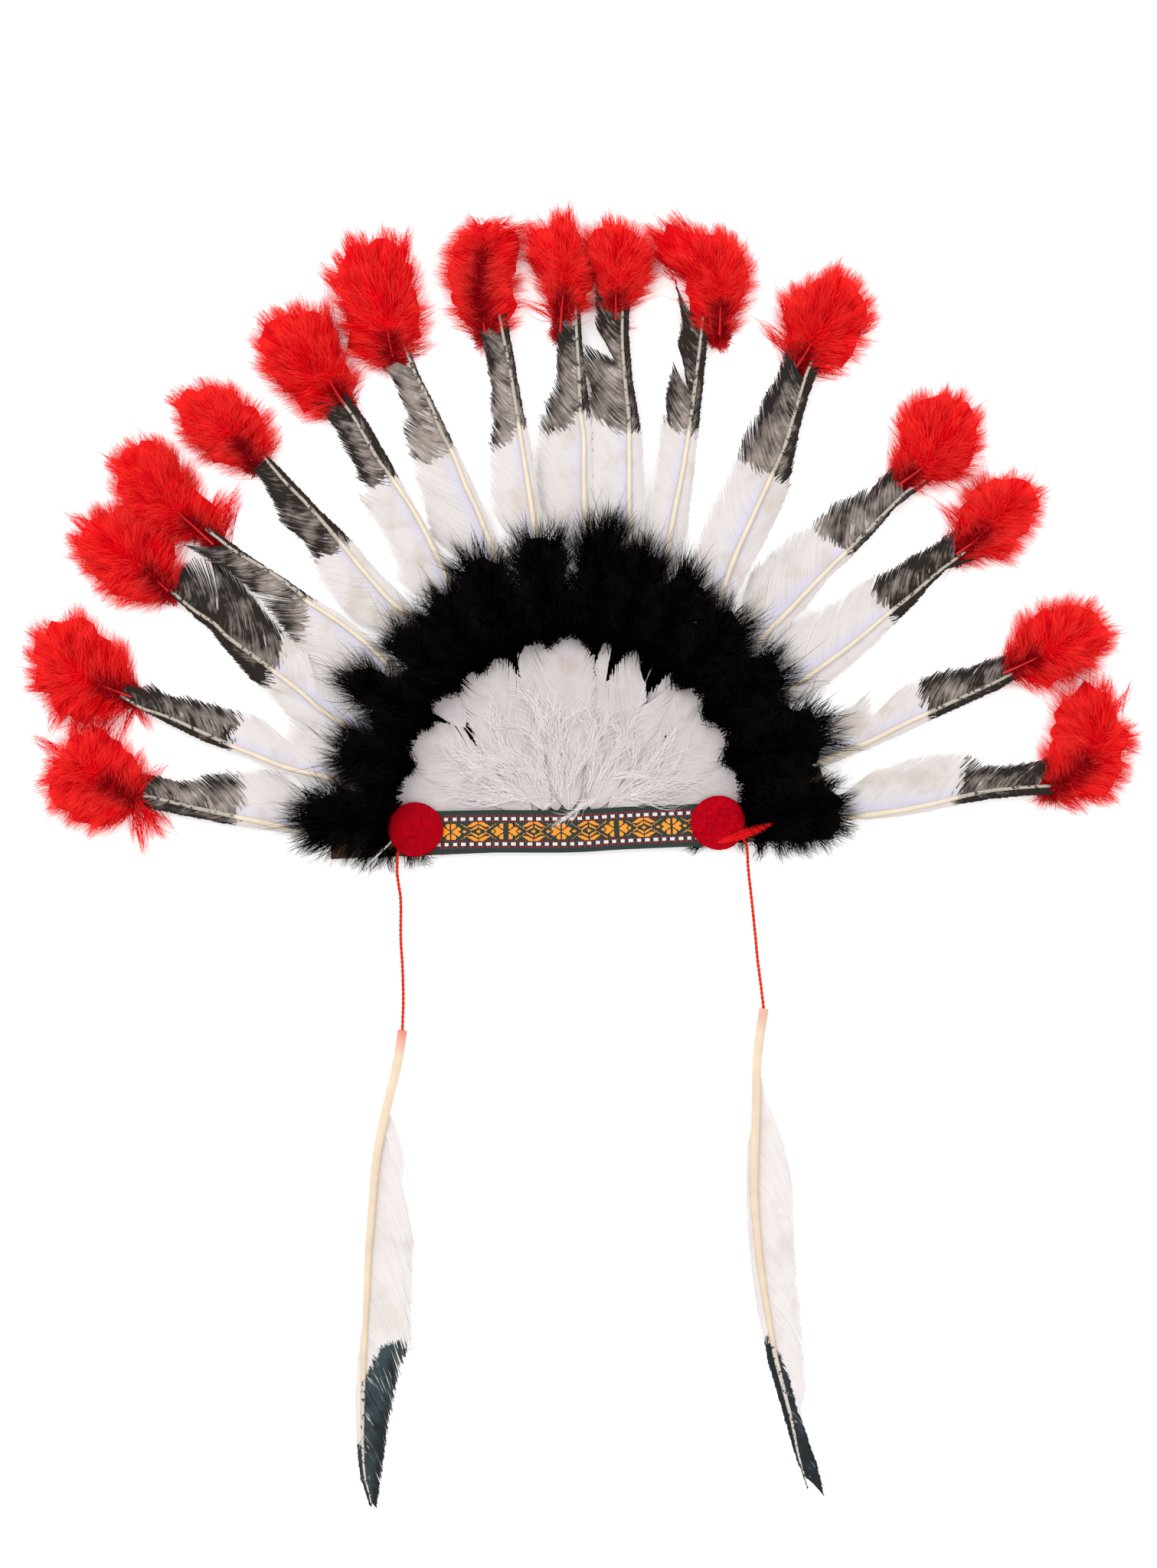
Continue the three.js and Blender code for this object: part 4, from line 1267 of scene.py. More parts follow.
class Down:
    """Strands over a lumpy core, in locks that run out from the tuft's stem."""

    def __init__(self, tuft: Tuft, build: DownBuild, seed: int) -> None:
        """Prepare the tuft.

        Args:
            tuft: Its form.
            build: How it is made.
            seed: Seed of its random draws.
        """
        self.tuft, self.build = tuft, build
        self.rng = np.random.default_rng(seed)
        self.stem = smooth_line(tuft.stem, 1.0)

    def top(self, place: Array, share: Array) -> Array:
        """Height of the tuft's surface, with a valley along its stem."""
        dome = np.sqrt(np.clip(1 - np.clip(share, 0, 1) ** self.build.dome_power, 0, 1))
        height = (self.tuft.high - self.tuft.low) * dome - self.build.valley * self.shelter(place)
        return self.tuft.low + np.maximum(height, 1.0)

    def shelter(self, place: Array) -> Array:
        """How deep each place lies in the valley along the stem, from 0 to 1."""
        index, gap = nearest(place, self.stem)
        share = index / max(len(self.stem) - 1, 1)
        fade = np.clip((self.tuft.dark_to + 0.2 - share) / 0.2, 0, 1)
        return np.exp(-((gap / self.tuft.valley) ** 2)) * fade

    def core(self, name: str, material: Material) -> Piece:
        """Closed lumpy body below the strands, darker with painted shade where it shows between them."""
        tuft, build = self.tuft, self.build
        angle = np.arange(build.core_turns) * FULL / build.core_turns
        phase = self.rng.uniform(0, FULL, 3)
        rings = []
        for share in np.linspace(0.1, 1, build.core_rings) ** 0.8:
            lump = 1 + 0.05 * np.sin(9 * angle + phase[0] + 5 * share)
            lump = lump + 0.04 * np.sin(14 * angle + phase[1])
            place = tuft.point(angle, share * build.fill * lump)
            height = self.top(place, np.full(build.core_turns, share)) - tuft.low
            body = tuft.low + height * build.fill * (1 + 0.1 * np.sin(5 * angle + phase[2]))
            rings.append(np.column_stack([place, body]))
        rim = rings[-1].copy()
        rim[:, 2] = tuft.low
        centre = np.mean(rings[0], axis=0)
        under = np.append(centre[:2], tuft.low)
        # the core's tone of 0.7 is painted shade, so the gaps between the locks read darker
        return round_body(f"{name}_core", [*rings, rim], centre, under, 0.7, material)

    def lock_tips(self) -> tuple[Array, Array]:
        """Where the locks end, and how far out that is."""
        rng, build = self.rng, self.build
        angle = rng.uniform(0, FULL, build.locks)
        share = np.sqrt(rng.uniform(0.03, 1.0, build.locks))
        share[rng.uniform(0, 1, build.locks) < build.rim_share] = 1.0
        low = self.stem[0] + heading(rng.uniform(0, FULL, build.base_locks)) * build.base_reach
        more = np.array(self.tuft.wisps, dtype=float).reshape(-1, 2)
        tips = np.vstack([self.tuft.point(angle, share), low, more])
        return tips, np.concatenate([share, np.full(build.base_locks, 0.9), np.full(len(more), 1.0)])

    def strands(self) -> Strands:
        """Locks of strands from near the stem to the outline."""
        rng, build, tuft = self.rng, self.build, self.tuft
        tip, share = self.lock_tips()
        locks = len(tip)
        index, gap = nearest(tip, self.stem)
        source = self.stem[np.maximum(index - round(build.forward), 0)]
        way = unit(tip - source + rng.normal(0, 1.0, (locks, 2)))
        length = np.minimum(rng.uniform(*build.length, locks), gap + 6)
        lock_tone = rng.uniform(0.6, 1.0, locks)
        owner = np.repeat(np.arange(locks), build.each)
        count = len(owner)
        tip, way, length, outer = tip[owner], way[owner], length[owner], share[owner] > build.outer_share
        side = turned(way, QUARTER)
        over = rng.exponential(build.fringe * 0.5, count) * outer
        ends = tip + rng.normal(0, build.scatter, (count, 2)) * 0.72
        ends = ends + scaled(way, over + rng.normal(0, 1.5, count))
        begins = tip - scaled(way, length * rng.uniform(0.75, 1.15, count))
        begins = begins + scaled(side, rng.normal(0, build.scatter, count))
        depth = np.where(outer, rng.uniform(0.1, 1.02, count), rng.uniform(0.86, 1.04, count))
        root_top = self.top(begins, tuft.share_of(begins) * 0.9)
        tip_top = self.top(ends, tuft.share_of(ends) * 0.9)
        root_z = np.maximum(tuft.low + (root_top - tuft.low) * depth * 0.96, tuft.low + 1.2)
        tip_z = tuft.low + (tip_top - tuft.low) * depth + rng.uniform(0, build.lift, count) * depth
        run = np.column_stack([ends - begins, np.maximum(tip_z, tuft.low + 1.8) - root_z])
        bend = np.column_stack([scaled(side, rng.normal(0, 1.2, count)), rng.uniform(0.3, 2.2, count)])
        middle = (begins + ends) / 2
        # painted shade: strands in the valley along the stem get a darker tone
        valley_shade = 0.85 * np.clip(self.shelter(middle) * 1.3, 0, 1)
        tone = lock_tone[owner] * rng.uniform(0.85, 1.1, count) * (1 - valley_shade)
        wide = build.width * rng.uniform(0.6, 1.25, count)
        tilt = rng.normal(0, 0.5, count)
        more = {"tone": np.clip(tone, 0, 1)}
        every = Strands(np.column_stack([begins, root_z]), run, bend, wide, tilt, more)
        return every.kept(clear_of(build.away, begins, ends, middle))

    def make(self, name: str, kit: Kit, material: str) -> list[Piece]:
        """The strands and the core, as two objects."""
        grown = self.strands().grow(name, kit, material, **TUFT_STRANDS)
        return [grown, self.core(name, kit.materials[material])]


# centre, outline, stem from its base to its top, and stray wisps, from the left end to the right
FLUFFS = (
    Tuft(
        (-286, 27), (31, 35, 32, 37, 39, 38, 30, 31.5, 34, 30.5, 27, 27, 29, 27, 27, 33),
        ((-262, 20), (-276, 30), (-289, 38)),
        (
            (-262, -4), (-256, -12), (-251, -4), (-242, -5), (-247, 7), (-245, 38), (-248, 1), (-317, 52),
            (-323, 57), (-256, 0), (-239, 2), (-285, 71), (-300, 70), (-272, 69), (-292, 74), (-279, 66),
        ),
    ),
    Tuft(
        (-296, 98), (32, 31, 27, 31, 35, 35, 34, 33, 29.5, 30, 27, 35, 38, 37, 38, 34),
        ((-262, 80), (-280, 87), (-295, 92)),
        ((-252, 62), (-257, 67), (-268, 112), (-284, 56), (-300, 57), (-268, 58), (-312, 60)),
    ),
    Tuft(
        (-268, 165), (36, 34, 34, 34, 33, 31, 34, 34.5, 30, 24.5, 24, 26, 29.5, 34.5, 36.5, 35),
        ((-240, 143), (-252, 155), (-262, 162)), ((-300, 190), (-285, 196)),
    ),
    Tuft(
        (-247, 206), (24, 20, 20, 23, 29, 35.5, 35, 33, 28, 28, 33, 34, 34, 34, 42, 43),
        ((-213, 171), (-225, 182), (-240, 196)),
        ((-199, 205), (-209, 203), (-198, 197), (-203, 192), (-204, 199), (-210, 196)),
    ),
    Tuft(
        (-211, 243), (32, 28, 23, 24, 26.5, 29, 34.5, 32, 25, 21.5, 20, 21, 26, 30, 32, 36),
        ((-190, 221), (-198, 232), (-205, 240)), ((-178, 240), (-180, 250)),
    ),
    Tuft(
        (-160, 284), (25, 22.5, 24.5, 33, 32.5, 31, 37, 33, 27.5, 26.5, 25, 26, 36.5, 36, 35, 36),
        ((-135, 254), (-141, 264), (-146, 272)), ((-168, 255), (-147, 320), (-163, 252)),
    ),
    Tuft(
        (-117, 320), (28, 27, 33, 41, 41, 40, 35, 31, 25, 22, 28, 40, 42.5, 39, 39, 34),
        ((-106, 283), (-108, 294), (-109, 305)), ((-82, 292), (-150, 341), (-148, 334), (-96, 362)),
    ),
    Tuft(
        (-52, 333), (20, 24, 36, 37, 33, 33, 29, 26, 25, 24, 29, 35, 36.5, 36, 33, 20),
        ((-51, 297), (-54, 320), (-52, 345), (-53, 360)), ((-21, 365), (-63, 370), (-27, 315)), 7.5, 0.68,
    ),
    Tuft(
        (-5, 340), (19, 17.5, 20, 26, 32, 29, 31, 26, 17, 15, 17.5, 25, 36, 34, 27.5, 24),
        ((-6, 298), (-5, 312), (-2, 335)), ((-1, 375), (-9, 372), (-28, 316)),
    ),
    Tuft(
        (28, 338), (22, 26, 26, 28, 29, 30, 30, 24, 15, 14, 19, 26, 31, 25, 22, 21.5),
        ((27, 305), (27, 318), (27, 330)), ((21, 370), (50, 332)),
    ),
    Tuft(
        (85, 333), (24, 26, 26.5, 27.5, 29, 33, 47, 44, 17, 19, 23.5, 32, 35.5, 34.5, 26, 25),
        ((89, 296), (89, 312), (88, 325)), ((62, 372), (45, 362), (66, 326)),
    ),
    Tuft(
        (152, 308), (30, 30.5, 31.5, 31, 28, 25, 26, 28.5, 27, 28, 33, 31, 33, 35, 32, 26),
        ((135, 277), (141, 286), (146, 295)), ((115, 303), (120, 300), (161, 341)),
    ),
    Tuft(
        (221, 236), (25.5, 28, 31, 31, 30, 29.5, 27, 28, 26, 29, 36, 34, 28, 28, 28.5, 27),
        ((195, 206), (208, 215), (215, 222)), (),
    ),
    Tuft(
        (255, 190), (27, 33, 32, 28, 24, 23.5, 22, 22.5, 23.5, 30.5, 34.5, 31, 25, 28, 22.5, 26),
        ((230, 165), (243, 175), (255, 192)), ((222, 196), (263, 160), (226, 192)),
    ),
    Tuft(
        (297, 113), (30, 31.5, 28.5, 28.5, 25, 25.5, 28, 31, 33, 40, 37, 32, 24, 21, 22.5, 20),
        ((258, 94), (275, 102), (291, 111)), ((316, 139), (328, 118)),
    ),
    Tuft(
        (309, 55), (30, 28, 28.5, 37, 38, 31, 27.5, 24, 22.5, 27.5, 36, 44, 41, 40, 34, 27),
        ((288, 24), (300, 34), (310, 45), (315, 60)), ((335, 87), (341, 48), (279, 19), (283, 14)),
    ),
)


@dataclass
class RedFluffs:
    """The red tufts on the long feathers' tips."""

    stem_radii: tuple[float, float] = (0.75, 0.35)
    stem_heights: tuple[float, float, float] = (11.0, 19.0, 20.0)

    def build(self, kit: Kit) -> list[Piece]:
        """Make and place every tuft with its bare stem."""
        made = []
        for index, tuft in enumerate(FLUFFS):
            node = f"red_fluff_{index + 1:02d}"
            down = Down(tuft, DownBuild(), seed=200 + index)
            parts = down.make(node, kit, "red_marabou")
            share = np.linspace(0, 1, len(down.stem))
            line = np.column_stack([down.stem, np.interp(share, [0, 0.5, 1], self.stem_heights)])
            radius = np.interp(share, [0, 1], self.stem_radii)
            parts.append(tube(f"{node}_stem", line, radius, kit, "red_stem", 6))
            made.append(dress(joined(node, parts), "red_marabou", node))
        return made


# angle from the fan's centre, reach and half-width of each black tuft
BLACK_TUFTS = (
    (183, 167, 20), (166, 147, 16), (149, 160, 15), (134, 153, 15), (122, 156, 16), (111, 167, 19),
    (97, 172, 18), (83, 176, 17), (73, 168, 15), (62, 163, 17), (49, 158, 19), (34, 157, 19),
    (17, 165, 25), (-1, 171, 23.5),
)
# ends of the stray locks of a tuft, by its angle
BLACK_WISPS = {
    183: ((-166, 16), (-160, 26), (-168, 8), (-158, -6)),
    17: ((166, 62), (160, 72), (168, 50)),
    34: ((140, 90), (136, 98), (128, 106)),
    49: ((108, 134), (114, 128)),
    83: ((12, 189), (20, 191), (30, 190), (38, 187)),
}


@dataclass
class BlackRing:
    """The ring of black plumes over the long feathers' roots."""

    inner: float = 104.5
    low: float = 9.4
    high: float = 27.0
    back_share: float = 0.45
    per_plume: int = 2
    outline_steps: int = 24
    end_angle: float = 8.5
    under_radii: tuple[float, float] = (62.0, 128.0)
    under_height: float = 2.4
    under_steps: int = 24
    fill_strands: int = 1200
    skirt_strands: int = 34
    # places kept free of down: the felt discs, the stray red feather's end, and a quill on the left
    discs: Points = (
        (-92.4, 1.0, 17.0), (88.3, 4.9, 16.5), (103.0, -1.8, 5.5), (110.5, 1.0, 5.0), (117.0, 3.8, 4.0),
        (-108.0, 97.0, 4.5), (-114.0, 103.5, 4.0),
    )
    # where each low lock starts, its heading in degrees and its length
    left_skirt: Points = (
        (-129, -6, 240, 14), (-122, -9, 238, 18), (-116, -10, 246, 19), (-110, -10, 236, 20),
        (-105, -11, 262, 15), (-98, -11, 290, 13), (-95, -11, 262, 14), (-88, -11, 300, 12),
        (-80, -9, 335, 9),
    )
    right_skirt: Points = (
        (105, -5, 262, 8), (111, -6, 280, 14), (118, -6, 255, 10), (125, -6, 290, 15), (132, -5, 262, 10),
        (139, -4, 300, 13), (147, -3, 320, 8), (153, -1, 340, 7), (80, -7, 205, 11), (76, -8, 225, 8),
        (142, 34, 20, 11), (145, 38, 60, 9), (139, 38, 10, 12),
    )
    down: DownBuild = DownBuild(
        locks=150, each=18, scatter=3.0, length=(14, 28), fringe=7.0, valley=2.0, lift=5.0, forward=14.0,
        fill=0.74, rim_share=0.4, base_locks=0,
    )

    def skirt(self, last: bool) -> Strands:
        """Low locks that hang out below the ends of the ring, under the browband and the discs."""
        rows = np.array(self.right_skirt if last else self.left_skirt, dtype=float)
        rng = np.random.default_rng(380 + last)
        owner = np.repeat(np.arange(len(rows)), self.skirt_strands)
        count = len(owner)
        out = heading(np.radians(rows[owner, 2] + rng.normal(0, 11, count)))
        length = rows[owner, 3] * rng.uniform(0.5, 1.1, count)
        root = rows[owner, :2] + rng.normal(0, 1.7, (count, 2))
        run = np.column_stack([scaled(out, length), rng.uniform(-1.2, 0.8, count)])
        curl = np.repeat(rng.normal(0, 1.6, len(rows)), self.skirt_strands)
        bend = np.column_stack([scaled(turned(out, QUARTER), curl), rng.uniform(0, 1, count)])
        root = np.column_stack([root, rng.uniform(1.4, 4.6, count)])
        wide, tilt = rng.uniform(0.3, 0.6, count), rng.normal(0, 0.4, count)
        return Strands(root, run, bend, wide, tilt, {"tone": rng.uniform(0.3, 1, count)})

    def tuft(self, angle: float, reach: float, spread: float) -> Tuft:
        """One tuft's form, as a rounded rectangle on its heading."""
        bearing = math.radians(angle)
        back = (reach - self.inner) * self.back_share
        forward = reach - self.inner - back
        way = heading(bearing)
        centre = FAN_CENTRE + way * (self.inner + back)
        row = []
        for step in range(self.outline_steps):
            lean = step * FULL / self.outline_steps - bearing
            length = forward if math.cos(lean) > 0 else back
            along, across = abs(math.cos(lean)) / length, abs(math.sin(lean)) / spread
            row.append(1 / (along**3 + across**3) ** (1 / 3))
        stem = [FAN_CENTRE + way * (self.inner - 2), centre, centre + way * forward * 0.35]
        return Tuft(centre, row, stem, BLACK_WISPS.get(angle, ()), 6.0, 0.6, self.low, self.high)

    def under(self, name: str, start: float, end: float, material: Material) -> Piece:
        """Flat black band below the white feathers' tips."""
        steps = self.under_steps
        out = heading(np.radians(np.linspace(start, end, steps)))
        level = np.full(steps, self.under_height)
        rows = [np.column_stack([FAN_CENTRE + out * radius, level]) for radius in self.under_radii]
        faces = [(i, i + steps, i + steps + 1, i + 1) for i in range(steps - 1)]
        body = mesh_object(name, np.vstack(rows), faces, tone=np.full(2 * steps, 0.3))
        body.data.materials.append(material)
        return body

    def fill(self, start: float, end: float, seed: int) -> Strands:
        """Down that fills the ring between its inner edge and the tufts."""
        rng = np.random.default_rng(seed)
        count = self.fill_strands
        way = heading(np.radians(rng.uniform(start, end, count)))
        lean = turned(way, rng.normal(0, 0.35, count))
        root = FAN_CENTRE + scaled(way, self.inner + rng.uniform(-5, 12, count))
        reach = scaled(lean, rng.uniform(10, 22, count))
        z = rng.uniform(self.low, self.high * 0.75, count)
        run = np.column_stack([reach, rng.uniform(-2, 6, count)])
        bow = scaled(turned(lean, QUARTER), rng.normal(0, 1.5, count))
        bend = np.column_stack([bow, rng.uniform(0, 2, count)])
        wide, tilt = rng.uniform(0.4, 0.8, count), rng.normal(0, 0.5, count)
        more = {"tone": rng.uniform(0.3, 1.0, count)}
        every = Strands(np.column_stack([root, z]), run, bend, wide, tilt, more)
        return every.kept(clear_of(self.discs, root, root + reach))

    def build(self, kit: Kit) -> list[Piece]:
        """Make and place every plume."""
        made = []
        usual = replace(self.down, away=self.discs)
        black, loose = "black_marabou", {"Waviness": 0.003, "Wave_scale": 160.0}
        plumes = len(BLACK_TUFTS) // self.per_plume
        for number in range(plumes):
            node, first = f"black_plume_{number + 1:02d}", number * self.per_plume
            rows = BLACK_TUFTS[first:first + self.per_plume]
            parts = []
            for place, row in enumerate(rows):
                down = replace(usual, fringe=2.0, rim_share=0.25) if row == BLACK_TUFTS[-1] else usual
                tuft = Down(self.tuft(*row), down, seed=300 + first + place)
                parts += tuft.make(f"{node}_{place}", kit, black)
            angles = [row[0] for row in rows]
            start, end = min(angles) - self.end_angle, max(angles) + self.end_angle
            parts.append(self.under(f"{node}_under", start, end, kit.materials[black]))
            if number in (0, plumes - 1):
                skirt = self.skirt(number > 0)
                parts.append(skirt.grow(f"{node}_skirt", kit, black, Tip_share=0.15, **loose))
            parts.append(self.fill(start, end, 350 + first).grow(f"{node}_fill", kit, black, **loose))
            made.append(dress(joined(node, parts), "black_marabou", node))
        return made


# ------------------------------------------------------------------ white fan


@dataclass
class WhiteFan:
    """Short white feathers above the browband, with loose down over them."""

    angles: Sequence[float] = (172, 156, 140, 124, 108, 92, 76, 60, 44, 28, 10)
    reaches: Sequence[float] = (101, 100, 98, 98, 99, 101, 100, 99, 102, 103, 103)
    half_widths: Sequence[float] = (7, 9, 13.5, 18, 19.5, 15)
    start: float = -1.5
    heights: tuple[float, float] = (3.4, 5.1)
    rise: float = 1.2
    plumes: int = 6
    barbs: int = 70
    spread: float = 26.0
    band_top: float = 14.5
    loose_top: float = 8.5
    # length of a loose plume with all its barbs, and the least number on a short one
    full_plume: float = 46
    fewest_barbs: int = 12
    # loose plumes over the browband: start, heading in degrees and length
    spill: Points = ((18, 20, 204, 26), (9, 19, 228, 12), (-9, 19, 215, 8))
    gaps: Gaps = (
        ((14, 97), (18, 116), 3.2), ((20, 88), (31, 112), 6.0), ((45, 75), (48, 108), 4.4),
        ((81, 66), (88, 90), 4.5), ((56, 49), (57.5, 59), 1.5), ((-53, 46), (-63, 62), 2.6),
        ((-68, 62), (-88, 70), 4.0), ((92, 50), (106, 55), 3.0), ((-30, 92), (-36, 112), 3.0),
    )

    def shape(self, index: int) -> FeatherShape:
        """Lines of one fan feather, each a little different."""
        rng = np.random.default_rng(450 + index)
        way = heading(math.radians(self.angles[index]))
        side = np.array([-way[1], way[0]])
        far = self.reaches[index] + rng.uniform(-4, 4)
        base = FAN_CENTRE + np.array([way[0] * self.spread, self.start])
        reach = FAN_CENTRE + way * far - base
        spots = np.linspace(0, 1, len(self.half_widths))
        edges = []
        for sign in (1, -1):
            wide = np.array(self.half_widths) * rng.uniform(0.92, 1.1)
            edge = [base + reach * spot + side * sign * half for spot, half in zip(spots, wide)]
            edge += [FAN_CENTRE + way * (far + 4) + side * sign * 7, FAN_CENTRE + way * (far + 5)]
            edges.append(smooth_line(edge, 2.0))
        return FeatherShape([base + reach * spot for spot in spots], *edges)

    def plume(
        self, rng: np.random.Generator, start: Array, bearing: float, length: float, height: float
    ) -> tuple[Array, Array, Array]:
        """One loose plume that ends above the browband, or spills over it where it is high up.

        Args:
            rng: Source of its random draws.
            start: Where it starts.
            bearing: Its heading in radians.
            length: Its length.
            height: Its height.

        Returns:
            The root, the run and the bend of each of its barbs.
        """
        spills = height > self.loose_top
        count = max(self.fewest_barbs, round(self.barbs * length / self.full_plume))
        share = np.sort(rng.uniform(0, 1, count))
        ways = bearing + (0.2 if spills else rng.normal(0, 0.9)) * share
        steps = scaled(heading(ways), length * np.diff(share, prepend=0))
        middle = start + np.cumsum(steps, axis=0) + rng.normal(0, 0.5 if spills else 1.3, (count, 2))
        sign = np.where(rng.uniform(0, 1, count) < 0.5, 1, -1)
        out = heading(ways + sign * rng.uniform(0.0, 0.5, count))
        reach = length * rng.uniform(0.35, 0.8, count) * (1.1 - 0.5 * share)
        flat = scaled(out, reach)
        keep = (np.minimum(middle[:, 1], (middle + flat)[:, 1]) > self.band_top) | spills
        run = np.column_stack([flat, rng.uniform(-0.3, 1.8, count)])
        bow = scaled(turned(out, -sign * QUARTER), reach * rng.uniform(0.05, 0.2, count))
        bend = np.column_stack([bow, rng.uniform(0, 1.2, count)])
        return np.column_stack([middle, np.full(count, height)])[keep], run[keep], bend[keep]

    def loose(self, index: int) -> Strands:
        """Downy plumes over the feather's root, and for the middle one a few over the browband."""
        rng = np.random.default_rng(400 + index)
        rows = []
        for _ in range(self.plumes if 2 < index < 8 else self.plumes // 2):
            bearing = math.radians(float(np.clip(self.angles[index] + rng.normal(0, 14), 16, 164)))
            out = heading(bearing)
            start = FAN_CENTRE + np.array([out[0] * self.spread, 3.0])
            start = start + out * rng.uniform(0, 38 - 26 * abs(out[0]))
            rows.append((start, bearing + rng.normal(0, 0.35), rng.uniform(22, 44), rng.uniform(6.4, 8.0)))
        if index == len(self.angles) // 2:
            height = self.loose_top + 0.5
            rows += [(np.array(row[:2]), math.radians(row[2]), row[3], height) for row in self.spill]
        root, run, bend = (np.vstack(part) for part in zip(*(self.plume(rng, *row) for row in rows)))
        wide, tilt = rng.uniform(0.13, 0.3, len(root)), rng.normal(0, 0.2, len(root))
        return Strands(root, run, bend, wide, tilt, {"tone": rng.uniform(0.5, 1, len(root))})

    def build(self, kit: Kit) -> list[Piece]:
        """Make and place every feather."""
        kind = FeatherBuild(
            spacing=0.8, broad_angle=34, narrow_angle=34, arch=0.12, ragged=0.07, root_length=0.0,
            tip_length=0.0, quill_root=0.45, quill_tip=0.15, droop=0.6, gaps=self.gaps,
        )
        made = []
        for index in range(len(self.angles)):
            node, base = f"white_feather_{index + 1:02d}", self.heights[index % 2]
            shape = self.shape(index)
            feather = Feather(node, shape, kind, lambda share: base + self.rise * share, 500 + index)
            body = feather.make(kit, "fan_vane", "fan_quill")
            down = self.loose(index).grow("loose", kit, "white_down", **LOOSE_BARBS)
            made.append(dress(joined(node, [body, down]), "white_feather", node))
        return made


# ------------------------------------------------------------------ browband


class Yarn(Enum):
    """Threads of the browband and their colours."""

    GREEN = (0.006, 0.022, 0.017)
    RED = (0.28, 0.006, 0.02)
    WHITE = (0.62, 0.6, 0.58)
    ORANGE = (0.8, 0.27, 0.012)
    DARK = (0.004, 0.006, 0.006)


@dataclass
class Browband:
    """Woven ribbon: a band of flowers and leaves between rows of squares and dashes."""

    line: Points = ((-97, -1.2), (-50, -0.3), (0, -0.2), (32, 1.6), (94, 4.2))
    width: float = 25.4
    low: float = 5.9
    thickness: float = 1.2
    weave: float = 0.05
    cell: float = 0.47
    repeat: float = 33.0
    middle: float = -4.0
    split: float = 1.1
    selvedge: float = 9.7
    square_pitch: float = 5.0
    dash_pitch: float = 1.65

    @staticmethod
    def flower(across: float, up: float) -> bool:
        """Whether a place is on a flower: four upright petals between two notched wings."""
        petal = 0.5 < across < 3.0 and 0.66 * across + 0.8 < up < 4.7 - 0.8 * max(0.0, across - 2.2)
        outer = 2.8 - 0.8 * max(0.0, across - 4.6)
        wing = 0.6 < across < 6.2 and 0.88 * (across - 4.4) < up < min(0.66 * across - 0.15, outer)
        return petal or wing

    @staticmethod
    def leaves(across: float, up: float) -> bool:
        """Whether a place is on the leaf motif: a diamond between two pairs of curled leaves."""
        if across / 1.5 + up / 1.0 < 1:
            return True
        inner = 0.4 < across < 4.8 and abs(up - (3.25 - 0.56 * across)) < 0.75 - 0.09 * across
        top = min(5.8, 5.8 - 0.66 * (across - 2.5))
        return inner or 0.3 < across < 7.2 and max(4.9 - 0.5 * across, 2.7) < up < top

    def yarn(self, x: float, y: float) -> Yarn:
        """Thread that shows at a place.

        Args:
            x: Distance along the ribbon from its middle flower.
            y: Distance from the ribbon's centre line.

        Returns:
            The thread.
        """
        up = abs(y)
        if up > self.selvedge:
            return Yarn.GREEN
        if (x / self.square_pitch) % 1 < 0.52 and 6.5 < up < 8.4:
            return Yarn.WHITE
        if up > 8.5 or 5.5 < up < 6.4:
            return Yarn.RED if (x / self.dash_pitch) % 1 < 0.42 else Yarn.DARK
        number = math.floor(x / self.repeat + 0.5)
        flower = abs(x - number * self.repeat)
        leaf = self.repeat / 2 - flower
        if self.flower(flower - (self.split if number % 2 else 0.0), up) or self.leaves(leaf, up):
            return Yarn.ORANGE
        small = abs(leaf - 8.6) / 1.5 + up / 0.9 < 1
        dotted = 0.4 < leaf - 3.6 < 7.4 and abs(up - (leaf - 3.4) * 0.66) < 0.3 and leaf % 1 < 0.6
        return Yarn.ORANGE if small or dotted else Yarn.GREEN

    def build(self, kit: Kit) -> list[Piece]:
        """Make the ribbon from one float of thread for each cell."""
        line = smooth_line(self.line, self.cell)
        across = turned(unit(np.gradient(line, axis=0)), QUARTER)
        rows = round(self.width / self.cell)
        offsets = (np.arange(rows + 1) / rows - 0.5) * self.width
        offsets = np.concatenate([[offsets[0]], offsets, [offsets[-1]]])
        size, length = len(offsets), arc_lengths(line)[-1]
        place = arc_lengths(line) - length / 2 - self.middle
        corners, faces, colours = [], [], []
        for column in range(len(line)):
            for row, offset in enumerate(offsets):
                weave = self.weave if (column + row) % 2 else -self.weave
                height = self.low if row in (0, size - 1) else self.low + self.thickness + weave
                corners.append([*(line[column] + across[column] * offset), height])
        for column in range(len(line) - 1):
            middle = (place[column] + place[column + 1]) / 2
            for row in range(size - 1):
                a = column * size + row
                faces.append((a, a + size, a + size + 1, a + 1))
                thread = self.yarn(middle, (offsets[row] + offsets[row + 1]) / 2)
                colours += [(*thread.value, 1.0)] * 4
        piece = mesh_object("ribbon", np.array(corners), faces)
        layer = piece.data.color_attributes.new("thread", "FLOAT_COLOR", "CORNER")
        layer.data.foreach_set("color", np.array(colours, dtype=np.float32).ravel())
        piece.data.materials.append(kit.materials["woven_ribbon"])
        piece = dress(piece, "woven_ribbon", "ribbon")
        return [piece]


